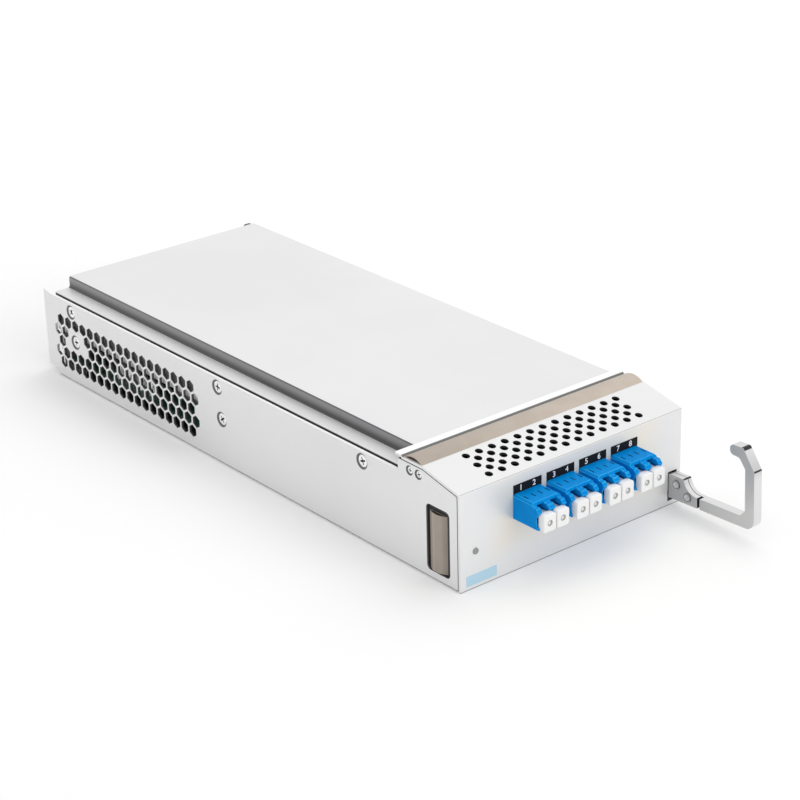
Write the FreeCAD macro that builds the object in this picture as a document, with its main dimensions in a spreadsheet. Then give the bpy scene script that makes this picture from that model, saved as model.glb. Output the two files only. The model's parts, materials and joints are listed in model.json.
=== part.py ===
import FreeCAD, Part
import math
import os
import Sketcher
from types import SimpleNamespace
from FreeCAD import Placement, Rotation, Vector

# Plug-in optical time domain reflectometer card for an optical transport shelf, in mm.
# While a piece is drawn, X runs to the right, Y to the rear from the outer front face, and
# Z up from the underside. At the end each piece is placed so that the row's origin is the
# centre of the tray's underside.

doc = FreeCAD.newDocument("reflectometer_card")

# Driving dimensions, one group for each family of pieces
driving = {
    # tray, walls and fits
    "card_width": 108.5,
    "face_height": 38.2,
    "slope_rise": 4.2,
    "slope_depth": 19.5,
    "side_drop": 5.0,
    "tray_sheet": 1.2,
    "tray_end": 262.0,
    "wall_end": 271.0,
    "lead_in": 0.8,
    "foot_relief": 2.4,
    "wall_step": 33.0,
    "bend_radius": 1.0,
    "seam": 0.15,
    "front_gap": 0.4,
    "snug": 0.05,
    # bezel
    "bezel_sheet": 1.0,
    "bezel_bend": 0.6,
    "seat_end": 30.2,
    "joggle": 0.6,
    "bezel_end": 34.4,
    "side_flange_end": 29.6,
    "side_flange_foot": 3.0,
    "foot_flange_end": 12.0,
    "foot_flange_inset": 20.25,
    "vent_radius": 1.5,
    "vent_pitch": 6.1,
    "vent_row": 3.1,
    "vent_first_row": 4.5,
    "vent_columns": 13,
    # cover
    "cover_sheet": 1.0,
    "cover_front": 34.5,
    "cover_end": 262.9,
    "ledge_gap": 1.85,
    "ledge_width": 7.15,
    "crown_gap": 1.45,
    "crown_bend": 1.6,
    "ledge_bend": 0.6,
    "step_bend": 1.1,
    "step_foot_bend": 1.0,
    "flange_foot": 20.5,
    "ear_foot": 15.3,
    "ear_width": 10.0,
    # hexagonal vents in the walls
    "hex_across": 4.65,
    "hex_pitch": 5.6,
    "hex_row": 4.82,
    "hex_middle_height": 17.1,
    "hex_rear": 257.2,
    "hex_columns": 18,
    "hex_pad": 6.8,
    # screws
    "side_screw_seat": 3.2,
    "side_screw_shank": 1.45,
    "side_screw_length": 5.6,
    "side_screw_drop": 5.05,
    "side_screw_low": 19.3,
    "screw_front": 53.6,
    "screw_middle": 143.3,
    "screw_rear": 248.8,
    "low_screw_back": 2.0,
    "head_depth": 1.2,
    "screw_sink": 0.4,
    "bezel_screw_seat": 1.9,
    "bezel_screw_shank": 0.95,
    "bezel_screw_length": 3.0,
    "bezel_screw_depth": 1.0,
    "bezel_screw_drop": 4.1,
    "bezel_screw_front": 21.9,
    "bezel_screw_pitch": 4.8,
    # conductive gaskets
    "top_gasket_front": 20.0,
    "top_gasket_width": 10.0,
    "top_gasket_height": 1.7,
    "top_gasket_inset": 0.35,
    "gasket_skin": 0.4,
    "slot_front": 5.4,
    "slot_rear": 17.9,
    "slot_foot": 3.25,
    "slot_top": 29.2,
    "slot_corner": 1.9,
    "side_gasket_front_gap": 2.5,
    "side_gasket_rear_gap": 0.6,
    "side_gasket_foot_gap": 0.6,
    "side_gasket_top_gap": 2.6,
    "side_gasket_depth": 1.75,
    # duplex adapters, dust plugs and labels
    "adapter_pitch": 15.8,
    "adapter_row_middle": 1.0,
    "adapter_width": 13.4,
    "adapter_height": 9.5,
    "adapter_foot": 20.95,
    "adapter_reach": 12.0,
    "adapter_hood": 9.5,
    "adapter_shoulder": 1.3,
    "adapter_chamfer": 0.8,
    "adapter_flange_width": 15.4,
    "adapter_flange_height": 12.4,
    "adapter_flange": 2.0,
    "adapter_rear": 17.0,
    "adapter_rear_inset": 0.25,
    "port_pitch": 6.25,
    "port_width": 5.0,
    "port_height": 5.3,
    "port_floor": 1.0,
    "port_depth": 11.0,
    "latch_width": 3.4,
    "latch_height": 1.75,
    "latch_depth": 9.0,
    "prong_reach": 1.0,
    "prong_height": 2.1,
    "prong_top": 1.4,
    "lip_reach": 1.0,
    "lip_height": 0.9,
    "mould_slot_width": 0.35,
    "mould_slot_length": 2.6,
    "mould_slot_depth": 0.35,
    "mould_slot_front": 6.1,
    "mould_slot_inner": 1.6,
    "mould_slot_outer": 5.0,
    "sleeve_outer": 0.8,
    "sleeve_bore": 0.625,
    "sleeve_length": 6.4,
    "sleeve_slit": 0.3,
    "plug_width": 5.75,
    "plug_height": 6.7,
    "plug_drop": 0.55,
    "plug_head": 3.1,
    "plug_shank": 8.0,
    "plug_shank_gap": 0.1,
    "plug_hole": 1.15,
    "plug_hole_depth": 7.0,
    "plug_round": 0.7,
    "plug_stand": 0.1,
    "label_height": 3.3,
    "label_sheet": 0.1,
    "card_label_inset": 2.85,
    "card_label_width": 14.0,
    "card_label_foot": 1.6,
    "card_label_height": 4.0,
    # plate that clamps the adapters
    "clamp_sheet": 1.0,
    "clamp_margin": 14.3,
    "clamp_foot": 18.4,
    "clamp_height": 14.2,
    "stud_radius": 1.25,
    "stud_length": 5.6,
    "stud_inset": 3.0,
    "nut_across": 5.0,
    "nut_height": 2.0,
    # status light
    "light_inset": 7.15,
    "light_height": 14.45,
    "light_radius": 1.2,
    "light_proud": 0.3,
    "light_length": 24.0,
    "light_leg": 2.6,
    "led_width": 2.0,
    "led_height": 1.0,
    # lever, in its own frame about the pivot
    "pivot_depth": 3.6,
    "pivot_height": 7.6,
    "lever_tilt": 2.2,
    "lever_gap": 0.8,
    "lever_thick": 4.1,
    "latch_plate_thick": 2.35,
    "lever_top": 5.6,
    "lever_foot": 4.05,
    "arm_thick": 4.3,
    "shoulder_reach": 19.6,
    "plate_reach": 18.4,
    "crown_reach": 11.6,
    "neck_reach": 12.9,
    "neck_radius": 6.2,
    "hook_reach": 46.4,
    "hook_thick": 4.4,
    "hook_bend": 19.2,
    "hook_rise": 27.2,
    "hook_top_reach": 41.0,
    "hook_tip_reach": 34.6,
    "hook_inner_reach": 39.2,
    "hook_inner_rise": 22.9,
    "hook_lip": 4.0,
    "hook_tip_radius": 1.9,
    "hook_corner": 4.2,
    "hook_chamfer": 2.4,
    "claw_reach": 0.8,
    "claw_back": 5.2,
    "claw_drop": 6.9,
    "claw_round": 1.2,
    "heel_radius": 4.0,
    "pin_radius": 1.75,
    "pin_head": 2.45,
    "pin_head_thick": 0.8,
    "pin_play": 0.05,
    "rivet_radius": 1.3,
    "rivet_head": 1.85,
    "rivet_head_thick": 0.4,
    "rivet_back_reach": 7.8,
    "rivet_back_rise": 2.3,
    "rivet_front_reach": 13.4,
    "rivet_front_drop": 1.1,
    "slot_play": 0.25,
    "lever_slot_drop": 1.65,
    "lever_slot_rise": 0.7,
    "flange_cut_depth": 13.2,
    "flange_cut_top": 16.6,
    "washer_thick": 0.6,
    "washer_radius": 2.5,
    "ear_sheet": 1.2,
    "ear_play": 0.15,
    "bracket_foot_width": 13.0,
    "bracket_depth": 13.0,
    "bracket_ear_depth": 9.4,
    "bracket_ear_top": 13.2,
    "bracket_screw_inset": 9.0,
    "bracket_screw_front": 4.4,
    "bracket_screw_pitch": 6.6,
    "bracket_screw_length": 3.2,
    "claw_slot_front": 1.8,
    "claw_slot_rear": 11.6,
    "claw_slot_play": 0.45,
    # main board and what stands on it
    "board_thick": 1.6,
    "board_side_gap": 2.65,
    "board_front": 20.0,
    "board_rear": 258.5,
    "standoff_height": 5.4,
    "standoff_across": 5.5,
    "standoff_bore": 1.25,
    "standoff_inset": 6.4,
    "standoff_front": 30.0,
    "standoff_middle": 140.0,
    "standoff_rear": 236.0,
    "board_hole": 1.6,
    "board_screw_head": 2.7,
    "board_screw_cap": 1.8,
    "board_screw_shank": 1.2,
    "board_screw_length": 5.0,
    "engine_gap": 6.0,
    "engine_inset": 10.4,
    "engine_front": 150.0,
    "engine_rear": 214.0,
    "engine_height": 13.0,
    "engine_wall": 1.5,
    "engine_lid": 1.2,
    "engine_corner": 3.0,
    "engine_post": 2.5,
    "engine_screw": 1.0,
    "engine_screw_head": 1.9,
    "engine_screw_cap": 0.8,
    "engine_screw_length": 6.0,
    "diode_radius": 2.8,
    "diode_flange": 3.6,
    "diode_length": 9.0,
    "diode_flange_thick": 1.5,
    "diode_height": 6.5,
    "diode_pitch": 16.0,
    "switch_gap": 3.0,
    "switch_front": 64.0,
    "switch_rear": 124.0,
    "switch_height": 8.5,
    "switch_round": 1.5,
    "spool_inset": 1.4,
    "spool_depth": 92.0,
    "spool_radius": 29.0,
    "spool_base": 1.2,
    "spool_wall": 1.5,
    "spool_height": 9.0,
    "spool_hub": 16.0,
    "spool_tab": 6.0,
    "spool_tab_width": 5.0,
    "spool_tabs": 6,
    "chip_inset": 8.4,
    "chip_depth": 176.0,
    "chip_width": 27.0,
    "chip_height": 2.6,
    "sink_width": 30.0,
    "sink_base": 2.0,
    "sink_height": 12.0,
    "sink_fins": 9,
    "sink_fin": 1.1,
    "memory_width": 9.0,
    "memory_length": 13.0,
    "memory_height": 1.1,
    "memory_pitch": 11.0,
    "memory_inset": 12.4,
    "memory_front": 130.0,
    "memory_count": 3,
    "brick_inset": 12.4,
    "brick_width": 23.0,
    "brick_gap": 9.0,
    "brick_rear": 232.0,
    "brick_height": 9.5,
    "can_radius": 3.15,
    "can_height": 7.0,
    "can_inset": 4.4,
    "can_front": 200.0,
    "can_pitch": 8.0,
    "can_count": 4,
    # rear panel and backplane connectors
    "panel_sheet": 1.0,
    "panel_rear": 262.2,
    "panel_side_gap": 1.85,
    "panel_top_gap": 0.2,
    "panel_notch_gap": 1.25,
    "panel_foot_depth": 10.0,
    "panel_screw_inset": 12.0,
    "panel_screw_depth": 5.0,
    "socket_front": 246.0,
    "socket_end": 268.6,
    "socket_gap": 0.3,
    "signal_gap": 6.0,
    "signal_width": 50.0,
    "signal_height": 12.0,
    "signal_wafers": 16,
    "signal_slot": 1.2,
    "signal_slot_depth": 7.0,
    "signal_slot_inset": 1.6,
    "power_gap": 1.7,
    "power_width": 20.0,
    "power_height": 10.0,
    "power_blades": 4,
    "power_slot": 2.0,
    "power_slot_depth": 9.0,
    "guide_inset": 2.2,
    "guide_width": 8.5,
    "guide_height": 10.0,
    "guide_bore": 2.6,
    "guide_bore_depth": 14.0,
    "shoe_inset": 0.5,
    "shoe_width": 2.5,
    "shoe_foot": 30.0,
    "shoe_top_gap": 0.1,
    "shoe_end": 268.2,
    "shoe_round": 1.6,
}

sheet = doc.addObject("Spreadsheet::Sheet", "Sizes")
for row, (name, amount) in enumerate(driving.items(), start=1):
    sheet.set("A%d" % row, name)
    sheet.set("B%d" % row, str(amount))
    sheet.setAlias("B%d" % row, name)
doc.recompute()


# A size holds both its number and the expression that ties a feature to the sheet
class Size:
    def __init__(self, amount, text):
        self.amount = float(amount)
        self.text = text

    def join(self, other, sign, result):
        return Size(result, "(%s %s %s)" % (self.text, sign, other.text))

    def __add__(self, other):
        other = as_size(other)
        return self.join(other, "+", self.amount + other.amount)

    def __radd__(self, other):
        return as_size(other) + self

    def __sub__(self, other):
        other = as_size(other)
        return self.join(other, "-", self.amount - other.amount)

    def __rsub__(self, other):
        return as_size(other) - self

    def __mul__(self, other):
        other = as_size(other)
        return self.join(other, "*", self.amount * other.amount)

    def __rmul__(self, other):
        return as_size(other) * self

    def __truediv__(self, other):
        other = as_size(other)
        return self.join(other, "/", self.amount / other.amount)

    def __neg__(self):
        return 0 - self


def as_size(amount):
    if isinstance(amount, Size):
        return amount
    return Size(amount, "(%s)" % repr(amount))


def root(size):
    return Size(math.sqrt(size.amount), "sqrt(%s)" % size.text)


def bind(thing, prop, size):
    thing.setExpression(prop, as_size(size).text)


s = SimpleNamespace(**{name: Size(getattr(sheet, name), "Sizes." + name) for name in driving})

# Heights that follow from the face, and places that follow from the width
s.top_height = s.face_height + s.slope_rise
s.side_height = s.top_height - s.side_drop
s.side_screw_high = s.side_height - s.side_screw_drop
s.bezel_screw_height = s.top_height - s.bezel_screw_drop
s.panel_top = s.top_height - s.cover_sheet - s.panel_top_gap
s.panel_notch_height = s.side_height - s.cover_sheet - s.panel_top_gap
s.shoe_top = s.top_height - s.cover_sheet - s.shoe_top_gap
half = s.card_width / 2
wall = half - s.tray_sheet
s.ledge_edge = half - s.ledge_gap
s.step_edge = s.ledge_edge - s.ledge_width
s.crown_edge = half - s.crown_gap
s.foot_flange_right = half - s.foot_flange_inset
s.card_label_left = half - s.card_label_inset
s.light_x = half - s.light_inset
s.lever_left = wall - s.lever_gap - s.lever_thick
s.lever_slot_foot = s.pivot_height - s.lever_foot - s.lever_slot_drop
s.lever_slot_top = s.pivot_height + s.lever_top + s.lever_slot_rise
s.panel_half_width = wall - s.panel_side_gap
s.panel_notch_edge = s.step_edge - s.panel_notch_gap
s.shoe_right = s.crown_edge - s.shoe_inset
s.shoe_left = s.shoe_right - s.shoe_width

# The board and what stands on it, from its left edge or from its right one
edge = wall - s.board_side_gap
s.standoff_x = edge - s.standoff_inset
s.spool_x = s.spool_radius + s.spool_inset - edge
s.switch_left = s.spool_x + s.spool_radius + s.switch_gap
s.switch_right = edge - s.engine_inset
s.chip_x = s.chip_inset + s.sink_width / 2 - edge
s.engine_left = s.chip_x + s.sink_width / 2 + s.engine_gap
s.engine_right = edge - s.engine_inset
s.memory_left = s.memory_inset - edge
s.brick_left = s.brick_inset - edge
s.brick_right = s.brick_left + s.brick_width
s.brick_front = s.chip_depth + s.sink_width / 2 + s.brick_gap
s.can_x = s.can_inset - edge
s.guide_left = s.guide_inset - edge
s.guide_right = s.guide_left + s.guide_width
s.power_left = s.guide_right + s.power_gap
s.power_right = s.power_left + s.power_width
s.signal_left = s.power_right + s.signal_gap
s.signal_right = s.signal_left + s.signal_width

# Sizes that several pieces share
tray_start = s.bezel_sheet + s.front_gap
slope = (s.top_height - s.face_height) / s.slope_depth
slope_drop = s.bezel_sheet * root(1 + slope * slope)
slope_inside = s.face_height - slope_drop
adapter_centres = [s.adapter_row_middle + s.adapter_pitch * (i - 1.5) for i in range(4)]
clamp_left = adapter_centres[0] - s.clamp_margin
clamp_right = adapter_centres[-1] + s.clamp_margin
adapter_top = s.adapter_foot + s.adapter_height
port_foot = s.adapter_foot + s.port_floor
port_middle = port_foot + s.port_height / 2
board_foot = s.tray_sheet + s.standoff_height
board_top = board_foot + s.board_thick
part_foot = board_top
lever_right = s.lever_left + s.lever_thick
ear_right = s.lever_left - s.ear_play
flange_outside = wall - s.snug
flange_inside = flange_outside - s.bezel_sheet
panel_front = s.panel_rear - s.panel_sheet
screw_low_middle = s.screw_middle - s.low_screw_back
screw_low_rear = s.screw_rear - s.low_screw_back

nodes = []


# Outlines for the sketches
def rect(left, right, foot, top):
    return [(left, foot), (right, foot), (right, top), (left, top)]


def ring(across, up, radius):
    return (across, up, radius)


def pin_point(sketch, line, end, across, up):
    for kind, axis, size in (("DistanceX", -2, across), ("DistanceY", -1, up)):
        if not isinstance(size, Size) and size == 0:
            sketch.addConstraint(Sketcher.Constraint("PointOnObject", line, end, axis))
            continue
        amount = as_size(size).amount
        index = sketch.addConstraint(Sketcher.Constraint(kind, -1, 1, line, end, amount))
        bind(sketch, "Constraints[%d]" % index, size)


def draw(sketch, outline):
    first = sketch.GeometryCount
    if isinstance(outline, tuple):
        across, up, radius = outline
        centre = Vector(as_size(across).amount, as_size(up).amount, 0)
        circle = Part.Circle(centre, Vector(0, 0, 1), as_size(radius).amount)
        sketch.addGeometry(circle, False)
        pin_point(sketch, first, 3, across, up)
        index = sketch.addConstraint(Sketcher.Constraint("Radius", first, as_size(radius).amount))
        bind(sketch, "Constraints[%d]" % index, radius)
        return
    corners = [Vector(as_size(a).amount, as_size(b).amount, 0) for a, b in outline]
    count = len(corners)
    for i in range(count):
        sketch.addGeometry(Part.LineSegment(corners[i], corners[(i + 1) % count]), False)
    for i, (across, up) in enumerate(outline):
        joint = Sketcher.Constraint("Coincident", first + i, 2, first + (i + 1) % count, 1)
        sketch.addConstraint(joint)
        pin_point(sketch, first + i, 1, across, up)


def sketch_at(body, plane, place, outlines):
    sketch = body.newObject("Sketcher::SketchObject", "Sketch")
    planes = {feature.Role: feature for feature in body.Origin.OriginFeatures}
    sketch.AttachmentSupport = [(planes[plane], "")]
    sketch.MapMode = "FlatFace"
    outward = -1 if plane == "XZ_Plane" else 1
    bind(sketch, "AttachmentOffset.Base.z", outward * as_size(place))
    for outline in outlines:
        draw(sketch, outline)
    return sketch


def finish_feature(body, feature, grows):
    before = feature.BaseFeature.Shape.Volume if feature.BaseFeature else 0.0
    body.Tip = feature
    doc.recompute()
    after = feature.Shape.Volume
    if grows and after <= before or not grows and after >= before:
        raise RuntimeError("%s in %s changed nothing" % (feature.Name, body.Label))
    return feature


# A pad or pocket fills from start to end along the axis that the plane faces
def pad(body, plane, start, end, *outlines):
    place = end if plane == "XZ_Plane" else start
    feature = body.newObject("PartDesign::Pad", "Pad")
    feature.Profile = sketch_at(body, plane, place, outlines)
    bind(feature, "Length", as_size(end) - start)
    return finish_feature(body, feature, True)


def pocket(body, plane, start, end, *outlines):
    place = start if plane == "XZ_Plane" else end
    feature = body.newObject("PartDesign::Pocket", "Pocket")
    feature.Profile = sketch_at(body, plane, place, outlines)
    bind(feature, "Length", as_size(end) - start)
    return finish_feature(body, feature, False)


def repeat(body, feature, axis, pitch, count):
    pattern = body.newObject("PartDesign::LinearPattern", "LinearPattern")
    pattern.Originals = [feature]
    lines = {line.Role: line for line in body.Origin.OriginFeatures}
    pattern.Direction = (lines[axis], [""])
    bind(pattern, "Length", pitch * (count - 1))
    bind(pattern, "Occurrences", count)
    body.Tip = pattern
    doc.recompute()
    return pattern


# Edges are picked by their direction and by the place of their middle
def edges_of(body, direction, *places):
    found = []
    for number, edge in enumerate(body.Tip.Shape.Edges, start=1):
        if len(edge.Vertexes) != 2 or edge.Curve.TypeId != "Part::GeomLine":
            continue
        run = edge.Vertexes[1].Point - edge.Vertexes[0].Point
        if run.normalize().cross(direction).Length > 1e-4:
            continue
        middle = edge.CenterOfMass
        for place in places:
            misses = [abs(got - as_size(want).amount) for got, want in zip(middle, place)
                      if want is not None]
            if max(misses) < 0.02:
                found.append("Edge%d" % number)
                break
    return found


def dress_edges(body, kind, prop, size, names):
    if not names:
        raise RuntimeError("no edge to dress in %s" % body.Label)
    tip = body.Tip
    feature = body.newObject("PartDesign::" + kind, kind)
    feature.Base = (tip, names)
    bind(feature, prop, size)
    body.Tip = feature
    doc.recompute()
    if feature.Shape.isNull() or not feature.Shape.isValid():
        raise RuntimeError("%s in %s failed" % (feature.Name, body.Label))
    return feature


def dress(body, kind, prop, size, direction, *places):
    return dress_edges(body, kind, prop, size, edges_of(body, direction, *places))


along_x = Vector(1, 0, 0)
along_y = Vector(0, 1, 0)
along_z = Vector(0, 0, 1)


def new_body(label):
    body = doc.addObject("PartDesign::Body", label)
    body.Label = label
    return body


# A node is placed with the others at the end, and may stand at an offset of its own
def keep(thing, label, shift_x=0, shift_z=0):
    thing.Label = label
    nodes.append((thing, shift_x, shift_z))
    return thing


def keep_shapes(label, shapes):
    thing = doc.addObject("Part::Feature", label)
    thing.Shape = Part.makeCompound(shapes)
    return keep(thing, label)


# A turned solid from (along, radius) pairs, with its axis from base in a direction
def turned(profile, base, direction):
    points = [Vector(radius, 0, along) for along, radius in profile]
    points = [Vector(0, 0, profile[0][0])] + points + [Vector(0, 0, profile[-1][0])]
    face = Part.Face(Part.makePolygon(points + points[:1]))
    solid = face.revolve(Vector(0, 0, 0), Vector(0, 0, 1), 360)
    solid.Placement = Placement(base, Rotation(Vector(0, 0, 1), direction))
    return solid


def hexagon(across, height, base, direction):
    corner = across / math.sqrt(3)
    points = [Vector(corner * math.cos(math.radians(60 * i)),
                     corner * math.sin(math.radians(60 * i)), 0) for i in range(7)]
    prism = Part.Face(Part.makePolygon(points)).extrude(Vector(0, 0, height))
    prism.Placement = Placement(base, Rotation(Vector(0, 0, 1), direction))
    return prism


# Countersunk screw: its head lies a little down the cone of the seat, whose rim is at base
def sunk_screw(base, direction, rim, shank, depth, length):
    sink = s.screw_sink.amount
    head = rim - sink * (rim - shank) / depth
    profile = [(sink, head), (depth, shank), (length, shank)]
    return turned(profile, base, direction)


def screw_seat(base, direction, rim, shank, depth, play):
    profile = [(-depth, rim + play), (0, rim + play), (depth, shank + play),
               (depth * 3, shank + play)]
    return turned(profile, base, direction)


# Places of the screws in the side walls, front to rear
def side_screw_places():
    places = []
    for side in (-1, 1):
        for depth in (s.screw_front, s.screw_middle, s.screw_rear):
            places.append((side, depth.amount, s.side_screw_high.amount))
        for depth in (screw_low_middle, screw_low_rear):
            places.append((side, depth.amount, s.side_screw_low.amount))
    return places


def bezel_screw_places():
    depths = (s.bezel_screw_front, s.bezel_screw_front + s.bezel_screw_pitch)
    return [(side, depth.amount, s.bezel_screw_height.amount)
            for side in (-1, 1) for depth in depths]


def bracket_screw_places():
    across = (ear_right - s.bracket_screw_inset).amount
    depths = (s.bracket_screw_front, s.bracket_screw_front + s.bracket_screw_pitch)
    return [(across, depth.amount) for depth in depths]


def foot_screw_places():
    across = (s.panel_half_width - s.panel_screw_inset).amount
    rear = (panel_front - s.panel_screw_depth).amount
    front = (s.foot_flange_end - s.panel_screw_depth).amount
    return [(-across, rear), (0, rear), (across, rear), (-across, front), (0, front)]


def standoff_places():
    depths = (s.standoff_front, s.standoff_middle, s.standoff_rear)
    return [(side * s.standoff_x.amount, depth.amount) for side in (-1, 1) for depth in depths]


# Bent tray: floor and two walls, with a lead-in where the walls run past the floor
def make_tray():
    body = new_body("tray_blank")
    pad(body, "XY_Plane", 0, s.tray_sheet, rect(-half, half, tray_start, s.tray_end))
    wall_top = s.top_height - s.bezel_sheet - s.front_gap
    pad(body, "XY_Plane", 0, wall_top, rect(-half, -wall, tray_start, s.tray_end),
        rect(wall, half, tray_start, s.tray_end))
    dress(body, "Fillet", "Radius", s.bend_radius, along_y, (-half, None, 0), (half, None, 0))
    toe = half - s.lead_in
    left = [(-half, s.tray_end - s.snug), (-wall, s.tray_end - s.snug), (-wall, s.tray_end),
            (s.tray_sheet - toe, s.wall_end), (-toe, s.wall_end), (-half, s.tray_end)]
    right = [(-across, depth) for across, depth in reversed(left)]
    pad(body, "XY_Plane", s.foot_relief, s.side_height, left, right)
    slope_top = slope_inside - s.front_gap
    bend = (wall_top - slope_top) / slope
    over = s.top_height + s.seam
    pocket(body, "YZ_Plane", -s.card_width, s.card_width,
           [(s.wall_step, s.side_height), (s.wall_end + s.seam, s.side_height),
            (s.wall_end + s.seam, over), (s.wall_step, over)])
    pocket(body, "YZ_Plane", -s.card_width, s.card_width,
           [(0, slope_top), (bend, wall_top), (bend, over), (0, over)])
    pocket(body, "YZ_Plane", -s.card_width, -wall + s.seam,
           rect(s.slot_front, s.slot_rear, s.slot_foot, s.slot_top))
    corners = [(None, depth, up) for depth in (s.slot_front, s.slot_rear)
               for up in (s.slot_foot, s.slot_top)]
    dress(body, "Fillet", "Radius", s.slot_corner, along_x, *corners)
    pocket(body, "XY_Plane", -s.seam, s.tray_sheet,
           rect(s.lever_left - s.claw_slot_play, lever_right + s.claw_slot_play,
                s.claw_slot_front, s.claw_slot_rear))
    pocket(body, "YZ_Plane", wall - s.seam, half + s.seam,
           ring(s.pivot_depth, s.pivot_height, s.pin_radius + s.snug))

    outer = half.amount
    play = s.snug.amount
    cutters = []
    for side, depth, up in side_screw_places():
        cutters.append(screw_seat(Vector(side * outer, depth, up), Vector(-side, 0, 0),
                                  s.side_screw_seat.amount, s.side_screw_shank.amount,
                                  s.head_depth.amount, play))
    for side, depth, up in bezel_screw_places():
        cutters.append(screw_seat(Vector(side * outer, depth, up), Vector(-side, 0, 0),
                                  s.bezel_screw_seat.amount, s.bezel_screw_shank.amount,
                                  s.bezel_screw_depth.amount, play))
    for across, depth in bracket_screw_places() + foot_screw_places():
        cutters.append(screw_seat(Vector(across, depth, 0), Vector(0, 0, 1),
                                  s.bezel_screw_seat.amount, s.bezel_screw_shank.amount,
                                  s.bezel_screw_depth.amount, play))
    for across, depth in standoff_places():
        cutters.append(Part.makeCylinder(s.standoff_bore.amount, 3 * s.tray_sheet.amount,
                                         Vector(across, depth, -s.tray_sheet.amount)))
    holes = doc.addObject("Part::Feature", "tray_holes")
    holes.Shape = Part.makeCompound(cutters + hex_cutters())
    tray = doc.addObject("Part::Cut", "chassis_tray")
    tray.Base = body
    tray.Tool = holes
    keep(tray, "chassis_tray")


# Staggered hexagons through both walls, left whole around the lower rear screw
def hex_cutters():
    pitch = s.hex_pitch.amount
    length = s.card_width.amount * 1.2
    cutters = []
    for line in range(-2, 3):
        odd = line % 2
        up = s.hex_middle_height.amount - line * s.hex_row.amount
        for column in range(int(s.hex_columns.amount) + odd):
            depth = s.hex_rear.amount + odd * pitch / 2 - column * pitch
            reach = math.hypot(depth - screw_low_rear.amount, up - s.side_screw_low.amount)
            if reach > s.hex_pad.amount:
                base = Vector(-length / 2, depth, up)
                cutters.append(hexagon(s.hex_across.amount, length, base, along_x))
    return cutters


# Front bezel: face, vented slope, gasket seat and raised rear strip bent from one sheet
def make_bezel():
    body = new_body("front_bezel")
    under = s.bezel_sheet
    foot = s.tray_sheet + s.seam
    seat_under = s.top_height - under
    knee = (seat_under - slope_inside) / slope
    rise = s.seat_end + s.joggle
    strip = s.top_height + s.joggle
    profile = [(0, 0), (under, 0), (under, slope_inside + under * slope), (knee, seat_under),
               (s.seat_end + under / 2, seat_under), (rise + under / 2, strip - under),
               (s.bezel_end, strip - under), (s.bezel_end, strip), (rise, strip),
               (s.seat_end, s.top_height), (s.slope_depth, s.top_height), (0, s.face_height)]
    pad(body, "YZ_Plane", -half, half, profile)
    pad(body, "XY_Plane", foot, foot + under,
        rect(-flange_inside, s.foot_flange_right, 0, s.foot_flange_end))
    cheek = [(0, s.side_flange_foot), (s.side_flange_end, s.side_flange_foot),
             (s.side_flange_end, seat_under), (knee, seat_under),
             (under, slope_inside + under * slope), (0, slope_inside)]
    pad(body, "YZ_Plane", -flange_outside, -flange_inside, cheek)
    pad(body, "YZ_Plane", flange_inside, flange_outside, cheek)
    dress(body, "Fillet", "Radius", s.bezel_bend, along_x,
          (None, 0, s.face_height), (None, s.slope_depth, s.top_height))
    clamp_middle = s.clamp_foot + s.clamp_height / 2
    studs = [ring(clamp_left + s.stud_inset, clamp_middle, s.stud_radius),
             ring(clamp_right - s.stud_inset, clamp_middle, s.stud_radius)]
    pad(body, "XZ_Plane", under / 2, under + s.stud_length, *studs)

    gap = s.snug
    windows = [rect(centre - s.adapter_width / 2 - gap, centre + s.adapter_width / 2 + gap,
                    s.adapter_foot - gap, adapter_top + gap) for centre in adapter_centres]
    windows.append(rect(s.lever_left - s.slot_play, lever_right + s.slot_play,
                        s.lever_slot_foot, s.lever_slot_top))
    windows.append(ring(-s.light_x, s.light_height, s.light_radius + gap))
    pocket(body, "XZ_Plane", -under, under, *windows)
    pocket(body, "YZ_Plane", flange_inside - gap, wall,
           rect(under, s.flange_cut_depth, s.side_flange_foot - gap, s.flange_cut_top))
    screws = [ring(s.bezel_screw_front, s.bezel_screw_height, s.bezel_screw_shank + gap),
              ring(s.bezel_screw_front + s.bezel_screw_pitch, s.bezel_screw_height,
                   s.bezel_screw_shank + gap)]
    pocket(body, "YZ_Plane", -wall, wall, *screws)
    holes = [ring(across, depth, s.bezel_screw_shank + gap)
             for across, depth in foot_screw_places()[3:]]
    pocket(body, "XY_Plane", 0, foot + under + gap, *holes)
    vent_rows(body, 0, s.vent_columns, (0, 2, 4))
    vent_rows(body, s.vent_pitch / 2, s.vent_columns - 1, (1, 3))
    keep(body, "front_bezel")


# Round vents lie square to the slope; each call makes the rows that share one stagger
def vent_rows(body, stagger, count, lines):
    first = -s.vent_pitch * (s.vent_columns - 1) / 2 + stagger
    outlines = [ring(first, s.vent_first_row + s.vent_row * line, s.vent_radius)
                for line in lines]
    sketch = sketch_at(body, "XY_Plane", s.face_height + s.bezel_sheet, outlines)
    tilt = Size(math.degrees(math.atan(slope.amount)), "atan(%s)" % slope.text)
    sketch.AttachmentOffset = Placement(sketch.AttachmentOffset.Base,
                                        Rotation(Vector(1, 0, 0), tilt.amount))
    bind(sketch, "AttachmentOffset.Rotation.Angle", tilt)
    feature = body.newObject("PartDesign::Pocket", "Pocket")
    feature.Profile = sketch
    bind(feature, "Length", s.bezel_sheet * 3)
    finish_feature(body, feature, False)
    repeat(body, feature, "X_Axis", s.vent_pitch, count)


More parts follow.
